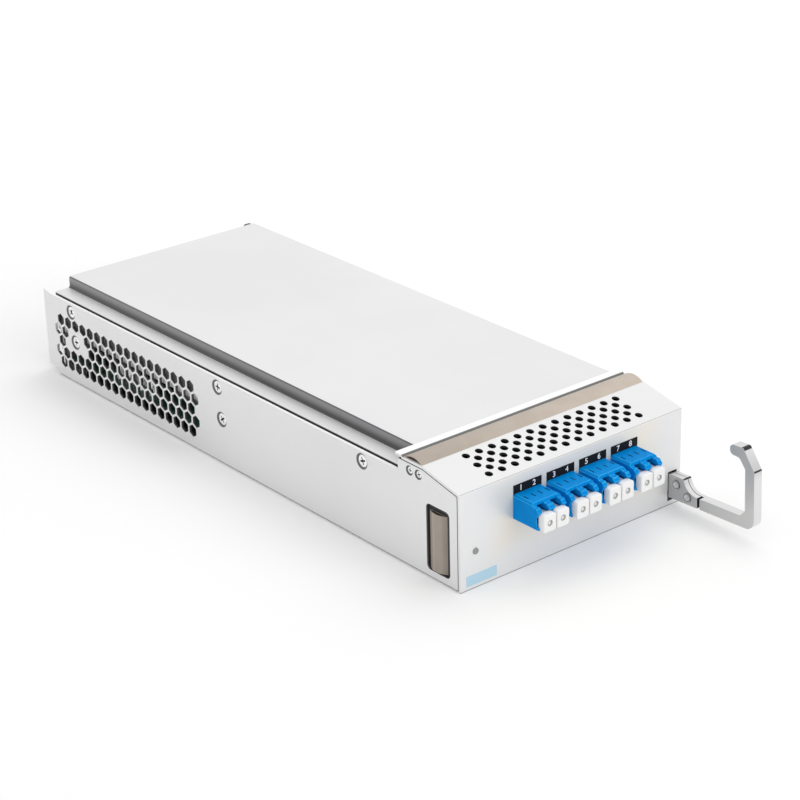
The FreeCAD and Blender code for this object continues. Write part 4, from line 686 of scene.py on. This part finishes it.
# The side walls end below the cover's ledge, but for a flare at their rear end
def lowerWalls(mesh):
    work = bmesh.new()
    work.from_mesh(mesh)
    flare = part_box("chassis_tray")[1].y - shell["flare"]
    bmesh.ops.bisect_plane(work, geom=work.verts[:] + work.edges[:] + work.faces[:],
                           plane_co=(0, flare, 0), plane_no=(0, 1, 0))
    work.to_mesh(mesh)
    work.free()
    spots = spotsOf(mesh)
    y, z = spots[:, 1], spots[:, 2]
    top = (np.abs(z - shell["sideTop"]) < 0.1 * mm) & (y <= flare + 0.1 * mm)
    top = top & (y > frontY + shell["wallStep"] - 0.1 * mm)
    z -= np.where(top, shell["sideTop"] - shell["wallTop"], 0.0)
    mesh.vertices.foreach_set("co", spots.ravel())
    mesh.update()


# A CAD node's own shape with its edges softened by a width in millimetres. Even normals are
# weighed by area, so big flat faces look flat.
def dressed(node, name, finish, soft, segments=2, share=None, change=None, edges=None,
            even=False):
    sharp = 35.0     # degrees
    mesh = nodes[node].data.copy()
    mesh.name = name
    if "custom_normal" in mesh.attributes:
        mesh.attributes.remove(mesh.attributes["custom_normal"])
    tidyMesh(mesh, sharp, fromCad=True)
    if change:
        change(mesh)
        mesh.set_sharp_from_angle(angle=math.radians(sharp))
    piece = addPiece(name, mesh, finish, nodes[node]["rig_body"], (node,))
    bevel = piece.modifiers.new("edges", "BEVEL")
    bevel.width = soft * mm
    bevel.segments = segments
    bevel.limit_method = "ANGLE"
    bevel.angle_limit = math.radians(sharp)
    if share:
        weighEdges(mesh, share)
        bevel.limit_method = "WEIGHT"
    bevel.harden_normals = not even
    bevel.use_clamp_overlap = True
    if even:
        weighed = piece.modifiers.new("even", "WEIGHTED_NORMAL")
        weighed.weight = 100
        weighed.keep_sharp = True
    if edges:
        mesh.materials.append(finishes[edges])
        bevel.material = 1


# Grids of points, rows by columns, with the columns closed in a ring, as one mesh
def ringMesh(name, grids, maps=None):
    points, faces, marks = [], [], []
    start = 0
    for number, grid in enumerate(grids):
        rows, columns = grid.shape[:2]
        index = start + np.arange(rows * columns).reshape(rows, columns)
        after = np.roll(index, -1, axis=1)
        quads = np.stack([index[:-1], after[:-1], after[1:], index[1:]], axis=-1)
        faces.append(quads.reshape(-1, 4))
        points.append(grid.reshape(-1, 3))
        if maps is not None:
            marks.append(maps[number].reshape(-1, 2))
        start += rows * columns
    faces = np.concatenate(faces)
    mesh = bpy.data.meshes.new(name)
    mesh.from_pydata(np.concatenate(points).tolist(), [], faces.tolist())
    if maps is not None:
        layer = mesh.uv_layers.new(name="UVMap")
        layer.data.foreach_set("uv", np.concatenate(marks)[faces.ravel()].ravel())
    return mesh


# Plain copies of the CAD shapes, with softened edges where a hand would feel them
softened = {
    "front_bezel": ("bezel_sheet", "bezel_steel", 0.12),
    "top_cover": ("cover_sheet", "cover_steel", 0.15),
    "rear_panel": ("rear_panel_sheet", "plated_steel", 0.1),
    "optical_engine_housing": ("engine_housing", "housing_alloy", 0.2),
    "optical_engine_lid": ("engine_lid", "housing_alloy", 0.2),
    "optical_switch": ("switch_body", "can_alloy", 0.2),
    "rear_guide_shoe": ("guide_shoe", "socket_grey", 0.15),
}
for node, (name, finish, soft) in softened.items():
    dressed(node, name, finish, soft, even="sheet" in name)
dressed("chassis_tray", "tray_sheet", "tray_steel", 0.12, change=lowerWalls, even=True)
dressed("lever_handle", "lever_arm", "lever_steel", 0.6, segments=4, share=0.35)
dressed("lever_latch_plate", "lever_cheek", "lever_steel", 0.6, segments=4, share=0.35)
# the adapters' bevels take the painted highlight finish
for number in range(1, 5):
    dressed("lc_adapter_%d" % number, "adapter_body_%d" % number, "adapter_blue", 0.16,
            edges="adapter_edge_highlight")
print("softened copies made")

# The other CAD nodes keep their mesh and take a finish of their own
carried = {
    "label_black": ("port_label_strips",),
    "label_blue": ("card_label",),
    "light_pipe": ("status_light_pipe",),
    "led_body": ("status_led",),
    "plated_steel": ("adapter_clamp_plate", "lever_bracket"),
    "can_alloy": ("adapter_clamp_nuts", "lever_pivot_pin", "lever_friction_washer",
                  "board_screws", "optical_engine_screws", "photodiode_barrel",
                  "power_capacitors"),
    "ceramic": ("alignment_sleeves",),
    "board_green": ("main_board",),
    "brass_pin": ("board_standoffs", "laser_diode_barrel"),
    "spool_black": ("fibre_spool",),
    "chip_black": ("processor_chip", "memory_chips", "power_converter"),
    "sink_alloy": ("processor_heat_sink",),
    "socket_grey": ("signal_connector", "power_connector", "guide_receptacle"),
}
for finish, group in carried.items():
    for node in group:
        nodes[node].data.materials.clear()
        nodes[node].data.materials.append(finishes[finish])
print("carried nodes finished")


# Radius of a cross: up to its arm's end or its flank, whichever is nearer, with the angle
# folded into one eighth of a turn
def crossRadius(angles, arm, halfWidth):
    folded = np.abs((angles + math.pi / 4) % (math.pi / 2) - math.pi / 4)
    return np.minimum(arm / np.cos(folded), halfWidth / np.maximum(np.sin(folded), 1e-6))


crossHead = {
    "arm": 0.60, "halfWidth": 0.135, "taper": 0.82, "depth": 0.32,     # shares of the head
    "sink": 0.46, "crown": 0.10, "edge": 0.16,                         # millimetres
}


# Countersunk screw: rings of (height, radius), then rings that follow the cross outline
# down into the recess. The rim of its seat is at zero, and the head lies down its cone.
def screwGrid(rim, shank, cone, length):
    p = crossHead
    sink, crown, edge, arm, half = (p[k] for k in ("sink", "crown", "edge", "arm", "halfWidth"))
    head = rim - sink * (rim - shank) / cone
    low = rim - (sink + edge) * (rim - shank) / cone
    top = crown - sink
    quarter = math.pi / 2
    corner = math.atan2(half, arm)
    part = np.array([-0.5 * quarter, -0.7 * corner - 0.15 * quarter, -corner, -0.5 * corner, 0,
                     0.5 * corner, corner, 0.7 * corner + 0.15 * quarter])
    angles = np.concatenate([part + i * quarter for i in range(4)])
    rings = [(-length, 0.0), (-length, shank), (-cone, shank), (-sink - edge, low),
             (-sink - edge * 0.4, head - edge * 0.45), (-sink + crown * 0.3, head - edge * 0.8),
             (top - crown * 0.2, head - edge * 1.5), (top, head * 0.70)]
    heights = np.array([z for z, r in rings])[:, None] + 0 * angles
    radii = np.array([r for z, r in rings])[:, None] + 0 * angles
    outline = crossRadius(angles, arm, half) * head
    depth = p["depth"] * head
    sunk = [(0.0, 1.06), (-0.04, 1.0), (-0.8 * depth, p["taper"]), (-depth, p["taper"] * 0.6),
            (-1.1 * depth, 0.0)]
    heights = np.vstack([heights] + [z + top + 0 * angles for z, share in sunk])
    radii = np.vstack([radii] + [outline * share for z, share in sunk])
    grid = np.stack([radii * np.cos(angles), radii * np.sin(angles), heights], axis=-1) * mm
    marks = np.stack([top - heights, radii / head], axis=-1)
    return grid, marks


# A grid at a place, its third axis along a direction and turned about it
def stood(grid, place, direction, turn):
    basis = Vector(direction).to_track_quat("Z", "Y").to_matrix() @ Matrix.Rotation(turn, 3, "Z")
    return grid @ np.array(basis).T + np.array(place)


def makeScrews(name, node, places, rim, shank, cone, length):
    grid, marks = screwGrid(rim, shank, cone, length)
    grids = [stood(grid, *stand, 0.35 + 1.13 * i) for i, stand in enumerate(places)]
    mesh = tidyMesh(ringMesh(name, grids, [marks] * len(grids)), 40.0)
    addPiece(name, mesh, "screw_steel", "chassis", (node,))


# Rows of screws, in millimetres: in both walls as a height and depths behind the face, in
# the underside as (x, depth). Sizes are the rim's and shank's radius, the cone and length.
screws = {
    "side_cross_screws": {"node": "side_screws", "size": (3.2, 1.45, 1.2, 5.6),
                          "walls": ((32.35, (53.6, 143.3, 248.8)), (19.3, (141.3, 246.8)))},
    "bezel_cross_screws": {"node": "bezel_side_screws", "size": (1.9, 0.95, 1.0, 3.0),
                           "walls": ((38.3, (21.9, 26.7)),)},
    "bracket_cross_screws": {"node": "bracket_screws", "size": (1.9, 0.95, 1.0, 3.2),
                             "foot": ((39.0, 4.4), (39.0, 11.0))},
    "foot_cross_screws": {"node": "foot_flange_screws", "size": (1.9, 0.95, 1.0, 3.2),
                          "foot": ((-39.2, 256.2), (0, 256.2), (39.2, 256.2), (-39.2, 7.0),
                                   (0, 7.0))},
}
for name, p in screws.items():
    places = [((side * shell["half"], frontY + depth * mm, height * mm), (side, 0, 0))
              for side in (-1, 1) for height, depths in p.get("walls", ()) for depth in depths]
    places += [((x * mm, frontY + depth * mm, 0), (0, 0, -1)) for x, depth in p.get("foot", ())]
    makeScrews(name, p["node"], places, *p["size"])
print("screws made")

# Dust plugs: rings run from the pin inside the bore, over the head, and back to the shank.
# The bore's are circles, the head's and the shank's are superellipses.
plug = {
    "halfWidth": 2.875, "halfHeight": 3.35, "shank": (2.4, 2.55), "power": 8.0,
    "columns": 72, "height": 23.75,
    "front": -15.2, "seat": -12.1, "tail": -4.1,
    "bore": 1.15, "pin": 0.62, "pinTop": 0.35, "boreFloor": 0.75,
    "edge": 0.34, "lip": 0.12, "backEdge": (0.25, 0.07), "tailEdge": 0.4,
}


def superRadius(angles, halfWidth, halfHeight, power):
    across = np.abs(np.cos(angles) / halfWidth) ** power
    up = np.abs(np.sin(angles) / halfHeight) ** power
    return (across + up) ** (-1.0 / power)


def plugGrid():
    p = plug
    angles = np.linspace(0, 2 * math.pi, p["columns"], endpoint=False)
    square = superRadius(angles, p["halfWidth"], p["halfHeight"], p["power"])
    shank = superRadius(angles, *p["shank"], p["power"])
    front, edge, lip, bore, pin = (p[k] for k in ("front", "edge", "lip", "bore", "pin"))
    top, floor = front + p["pinTop"], front + p["boreFloor"]
    none = 0 * square
    rings = [(top, none), (top, none + pin * 0.8), (top + lip, none + pin), (floor, none + pin),
             (floor, none + bore), (front + lip, none + bore), (front, none + bore + lip)]
    for share in (0.35, 0.7, 1.0):
        rings.append((front, (1 - share) * (bore + lip) + share * (square - edge)))
    for turn in np.radians([22.5, 45, 67.5, 90]):
        rings.append((front + edge * (1 - math.cos(turn)), square - edge * (1 - math.sin(turn))))
    seat, tail, back, cut = p["seat"], p["tail"], p["backEdge"], p["tailEdge"]
    rings += [(seat - back[0], square), (seat - back[1], square - back[1]),
              (seat, square - back[0]), (seat, shank), (tail - cut, shank),
              (tail, shank - cut), (tail, none)]
    radii = np.array([r for y, r in rings])
    depths = np.array([y for y, r in rings])[:, None] + 0 * angles
    grid = np.stack([radii * np.cos(angles), depths, radii * np.sin(angles)], axis=-1) * mm
    return grid, np.stack([radii, depths - front], axis=-1)


plugShape, plugMarks = plugGrid()
for number in range(1, 9):
    node = "dust_plug_%d" % number
    low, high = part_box(node)
    middle = (low + high) / 2
    grid = plugShape + np.array([middle.x, frontY, plug["height"] * mm])
    name = "port_plug_%d" % number
    mesh = tidyMesh(ringMesh(name, [grid], [plugMarks]), 38.0)
    addPiece(name, mesh, "plug_white", nodes[node]["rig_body"], (node,))
print("plugs made")

# Rivets: a turned profile with a groove round a shallow dish
rivet = {"rings": ((0.10, 0.0), (0.16, 0.45), (0.04, 0.85), (0.0, 1.05), (0.02, 1.30),
                   (0.14, 1.42), (0.14, 1.50), (0.02, 1.62), (0.06, 1.78), (0.25, 1.85),
                   (0.40, 1.85), (0.40, 1.29), (4.50, 1.29), (4.50, 0.0)),
         "places": ((7.8, 2.3), (13.4, -1.1)),      # reach and rise on the lever
         "columns": 48}
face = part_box("lever_rivets")[0].x
tilt = leverLook["tilt"]
pivot = np.array([0.0, frontY + leverLook["pivot"][0] * mm, leverLook["pivot"][1] * mm])
angles = np.linspace(0, 2 * math.pi, rivet["columns"], endpoint=False)
rises, radii = (np.array(column)[:, None] + 0 * angles for column in zip(*rivet["rings"]))
ring = np.stack([rises, radii * np.cos(angles), radii * np.sin(angles)], axis=-1) * mm
grids = []
for reach, rise in rivet["places"]:
    y = -reach * math.cos(tilt) + rise * math.sin(tilt)
    z = rise * math.cos(tilt) + reach * math.sin(tilt)
    grids.append(ring + (pivot + np.array([face, y * mm, z * mm])))
marks = np.stack([radii, rises], axis=-1)
mesh = tidyMesh(ringMesh("lever_rivet_heads", grids, [marks] * 2), 40.0)
addPiece("lever_rivet_heads", mesh, "rivet_steel", "lever",
         ("lever_rivets",))
print("rivets made")

# Gaskets: cloth tubes of D section, an arc over its chord, drawn outside and then inside.
# The arc dips where the cloth is creased, and swells and sinks a little along its length.
gasketCloth = {"thick": 0.28, "sway": 0.035, "core": 0.15, "spacing": 0.8,
               "arcPoints": 41, "chordPoints": 20, "creaseWidth": 0.06}
gaskets = (
    ("roof_gasket", "top_emi_gasket", "y", ((-0.62, 0.05), (0.50, 0.07))),
    ("side_gasket", "side_emi_gasket", "x", ((0.16, 0.16), (0.66, 0.12))),
)


def archLoop(width, height, lift, creases=(), swell=0.0):
    half = width / 2
    radius = (half ** 2 + height ** 2) / (2 * height)
    reach = math.asin(half / radius)
    angles = np.linspace(-reach, reach, gasketCloth["arcPoints"])
    wide = gasketCloth["creaseWidth"]
    dip = sum(depth * np.exp(-((angles / reach - place) / wide) ** 2) for place, depth in creases)
    bulge = swell * np.cos(angles / reach * math.pi / 2)
    bow = radius - dip + bulge
    across = bow * np.sin(angles)
    up = bow * np.cos(angles) + height - radius + lift
    chord = np.linspace(half, -half, gasketCloth["chordPoints"])[1:-1]
    return np.stack([np.append(across, chord), np.append(up, lift + 0 * chord)], axis=-1)


def tubeRows(low, high, width, height, creases, thick, inset):
    p = gasketCloth
    span = np.linspace(low + inset, high - inset, int((high - low) / p["spacing"]))
    sway = p["sway"] * (np.sin(span * 0.9) + np.sin(span * 0.37 + 1.0)) / 2 - p["sway"]
    outer = [(along, archLoop(width, height, 0.0, creases, bend))
             for along, bend in zip(span, sway)]
    if not thick:
        shut = [(along, loop * 0.02 + loop.mean(axis=0) * 0.98)
                for along, loop in (outer[0], outer[-1])]
        return [shut[0]] + outer + [shut[1]]
    inner = [(along, archLoop(width - 8 * thick, height - 2 * thick, thick, creases, bend))
             for along, bend in zip(span, sway)]
    return outer + inner[::-1] + outer[:1]


def gasketGrid(rows, facing, box):
    low, high = box
    loops = np.array([loop for place, loop in rows])
    across, up = loops[:, :, 0], loops[:, :, 1]
    along = np.array([place for place, loop in rows])[:, None] + 0 * across
    middle = (low.y + high.y) / 2 / mm
    if facing == "y":
        return np.stack([along, across + middle, up + low.z / mm], axis=-1) * mm
    return np.stack([high.x / mm - up, across + middle, along], axis=-1) * mm


for name, node, facing, creases in gaskets:
    low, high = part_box(node)
    ends = (low.x / mm, high.x / mm) if facing == "y" else (low.z / mm, high.z / mm)
    width = (high.y - low.y) / mm
    height = (high.z - low.z if facing == "y" else high.x - low.x) / mm
    rows = tubeRows(*ends, width, height, creases, gasketCloth["thick"], 0.0)
    grid = gasketGrid(rows, facing, (low, high))
    addPiece(name, tidyMesh(ringMesh(name, [grid]), 50.0), "gasket_cloth", "chassis",
             (node,))
    # A black foam core fills each tube almost to its ends; its black also stands in for the shade
    # inside the tube's open ends.
    thick = gasketCloth["thick"] * 1.1
    rows = tubeRows(*ends, width - 8 * thick, height - 2 * thick, (), 0.0, gasketCloth["core"])
    grid = gasketGrid(rows, facing, (low, high))
    grid = grid + np.array([0, 0, thick] if facing == "y" else [-thick, 0, 0]) * mm
    name += "_foam"
    addPiece(name, tidyMesh(ringMesh(name, [grid]), 50.0), "foam_core_and_shade", "chassis")
print("gaskets made")

# Small parts on the board. Each block is rings of a rectangle: its foot, its side, a
# chamfer and its lid. A chip has leads along two sides, a small part has two metal caps.
boardParts = {
    "seed": 11, "tries": 4, "clear": 1.6, "rim": 4.0, "gap": 0.5,
    "screwLines": (-44.0, 44.0), "screwClear": 4.5,
    "leadReach": 0.4, "leadPitch": 0.8, "leadHalf": (0.16, 0.45), "stand": 0.15,
    "leadColour": (0.75, 0.75, 0.76), "capColour": (0.78, 0.77, 0.75),
    "bodyShare": 0.62, "capShare": 0.22,
    "kinds": (      # how many, half its sides, its height, its colour and whether it has leads
        (6, (4.2, 5.2), 1.3, (0.02, 0.02, 0.022), True),
        (26, (1.9, 2.6), 1.1, (0.022, 0.022, 0.024), True),
        (24, (1.6, 1.6), 1.8, (0.06, 0.06, 0.065), False),
        (160, (0.9, 0.5), 0.6, (0.30, 0.20, 0.12), False),
        (240, (0.55, 0.32), 0.4, (0.025, 0.025, 0.028), False),
    ),
    "busy": ("optical_engine_housing", "fibre_spool", "processor_heat_sink", "memory_chips",
             "power_converter", "power_capacitors", "signal_connector", "power_connector",
             "guide_receptacle", "optical_switch", "lever_bracket"),
}


def blocks(centres, halves, heights, chamfer=0.12):
    square = np.array([(-1, -1), (1, -1), (1, 1), (-1, 1)])
    count = len(centres)
    cut = np.minimum(chamfer, heights / 4)[:, None, None]
    full = square[None] * halves[:, None, :]
    less = square[None] * (halves[:, None, :] - cut)
    heights = heights[:, None]
    rings = [(0 * full, 0 * heights), (full, 0 * heights), (full, heights - cut[:, :, 0]),
             (less, heights), (0 * less, heights)]
    grid = np.zeros((count, len(rings), 4, 3))
    for row, (outline, height) in enumerate(rings):
        grid[:, row, :, :2] = outline + centres[:, None, :2]
        grid[:, row, :, 2] = height + centres[:, None, 2]
    return grid


def clearOf(spots, halves, taken):
    low = spots - halves
    high = spots + halves
    free = np.ones(len(spots), dtype=bool)
    for lowTaken, highTaken in taken:
        apart = (high < lowTaken).any(axis=1) | (low > highTaken).any(axis=1)
        free = free & apart
    return free


def scatter(draw, count, halves, taken, edges):
    chosen = []
    spots = draw.uniform(edges[0], edges[1], (count, 2))
    turned = draw.random(count) < 0.5
    sizes = np.where(turned[:, None], halves[::-1], halves)
    free = clearOf(spots, sizes, taken)
    for spot, size in zip(spots[free], sizes[free]):
        if clearOf(spot[None], size[None] + boardParts["gap"], chosen)[0]:
            chosen.append((spot - size, spot + size))
    return chosen


def makeBoardParts():
    p = boardParts
    draw = np.random.default_rng(p["seed"])
    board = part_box("main_board")
    edges = [np.array(c)[:2] / mm + side * p["rim"] for c, side in zip(board, (1, -1))]
    taken = [(np.array(low)[:2] / mm - p["clear"], np.array(high)[:2] / mm + p["clear"])
             for low, high in (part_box(node) for node in p["busy"])]
    clear, far = p["screwClear"], 200.0      # past both ends of the board
    for x in p["screwLines"]:
        taken.append((np.array([x - clear, -far]), np.array([x + clear, far])))
    grids, tints, metals = [], [], []

    def add(spots, sizes, heights, tint, metal):
        grid = blocks(np.array(spots), np.array(sizes), np.array(heights))
        grids.extend(grid * mm)
        tints.extend([tint] * len(grid))
        metals.extend([metal] * len(grid))

    base = board[1].z / mm
    for count, halves, height, tint, leads in p["kinds"]:
        halves = np.array(halves)
        legs = p["leadReach"] * leads
        chosen = scatter(draw, count * p["tries"], halves + legs, taken, edges)[:count]
        taken.extend((low - p["gap"], high + p["gap"]) for low, high in chosen)
        for low, high in chosen:
            middle = (low + high) / 2
            half = (high - low) / 2 - legs
            long = int(half[1] > half[0])
            short = 1 - long
            if leads:
                add([(*middle, base + p["stand"])], [half], [height], tint, 0.0)
                steps = np.arange(-half[long] + 0.5, half[long] - 0.3, p["leadPitch"])
                spots = np.zeros((2 * len(steps), 3))
                spots[:, long] = np.tile(steps, 2) + middle[long]
                ends = np.repeat([-1, 1], len(steps))
                spots[:, short] = ends * (half[short] + p["leadReach"] / 2) + middle[short]
                spots[:, 2] = base
                size = np.full((len(spots), 2), p["leadHalf"][0])
                size[:, short] = p["leadHalf"][1]
                add(spots, size, [0.5] * len(spots), p["leadColour"], 1.0)
            else:
                inner = half.copy()
                inner[long] *= p["bodyShare"]
                add([(*middle, base)], [inner], [height], tint, 0.0)
                cap = half.copy()
                cap[long] *= p["capShare"]
                shift = np.zeros((2, 3))
                shift[:, long] = np.array([-1, 1]) * (half[long] - cap[long])
                spots = shift + np.array([*middle, base])
                add(spots, [cap, cap], [height + 0.03] * 2, p["capColour"], 1.0)
    mesh = ringMesh("board_small_parts", grids)
    each = len(mesh.vertices) // len(grids)
    tint = mesh.color_attributes.new("tint", "FLOAT_COLOR", "POINT")
    colours = np.ones((len(mesh.vertices), 4), dtype=np.float32)
    colours[:, :3] = np.repeat(np.array(tints), each, axis=0)
    tint.data.foreach_set("color", colours.ravel())
    metal = mesh.attributes.new("metal", "FLOAT", "POINT")
    metal.data.foreach_set("value", np.repeat(np.array(metals), each).astype(np.float32))
    addPiece(mesh.name, tidyMesh(mesh, 30.0), "part_bodies", "chassis")
    print("board parts made:", len(grids), "blocks")


makeBoardParts()

# Port numbers, plain digits on the dark strips, just clear of them. A capital is 0.70 of
# the font's size.
digits = {"height": 2.15, "thick": 0.02, "middle": 32.2, "bold": 0.04, "clear": 0.105,
          "capital": 0.70}
for number in range(1, 9):
    low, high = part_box("dust_plug_%d" % number)
    curve = bpy.data.curves.new("digit_%d" % number, "FONT")
    curve.body = str(number)
    curve.size = digits["height"] * mm / digits["capital"]
    curve.extrude = digits["thick"] * mm
    curve.align_x = "CENTER"
    curve.offset = digits["bold"] * mm * (number != 4)     # which would fill the four
    text = bpy.data.objects.new("text_%d" % number, curve)
    scene.collection.objects.link(text)
    bpy.context.view_layer.update()
    graph = bpy.context.evaluated_depsgraph_get()
    mesh = bpy.data.meshes.new_from_object(text.evaluated_get(graph))
    place = Matrix.Translation(((low.x + high.x) / 2, frontY - digits["clear"] * mm,
                                (digits["middle"] - digits["height"] / 2) * mm))
    mesh.transform(place @ Matrix.Rotation(math.pi / 2, 4, "X"))
    bpy.data.objects.remove(text)
    mesh.name = "port_digit_%d" % number
    addPiece(mesh.name, tidyMesh(mesh, 30.0), "digit_white", "chassis")
print("digits made")
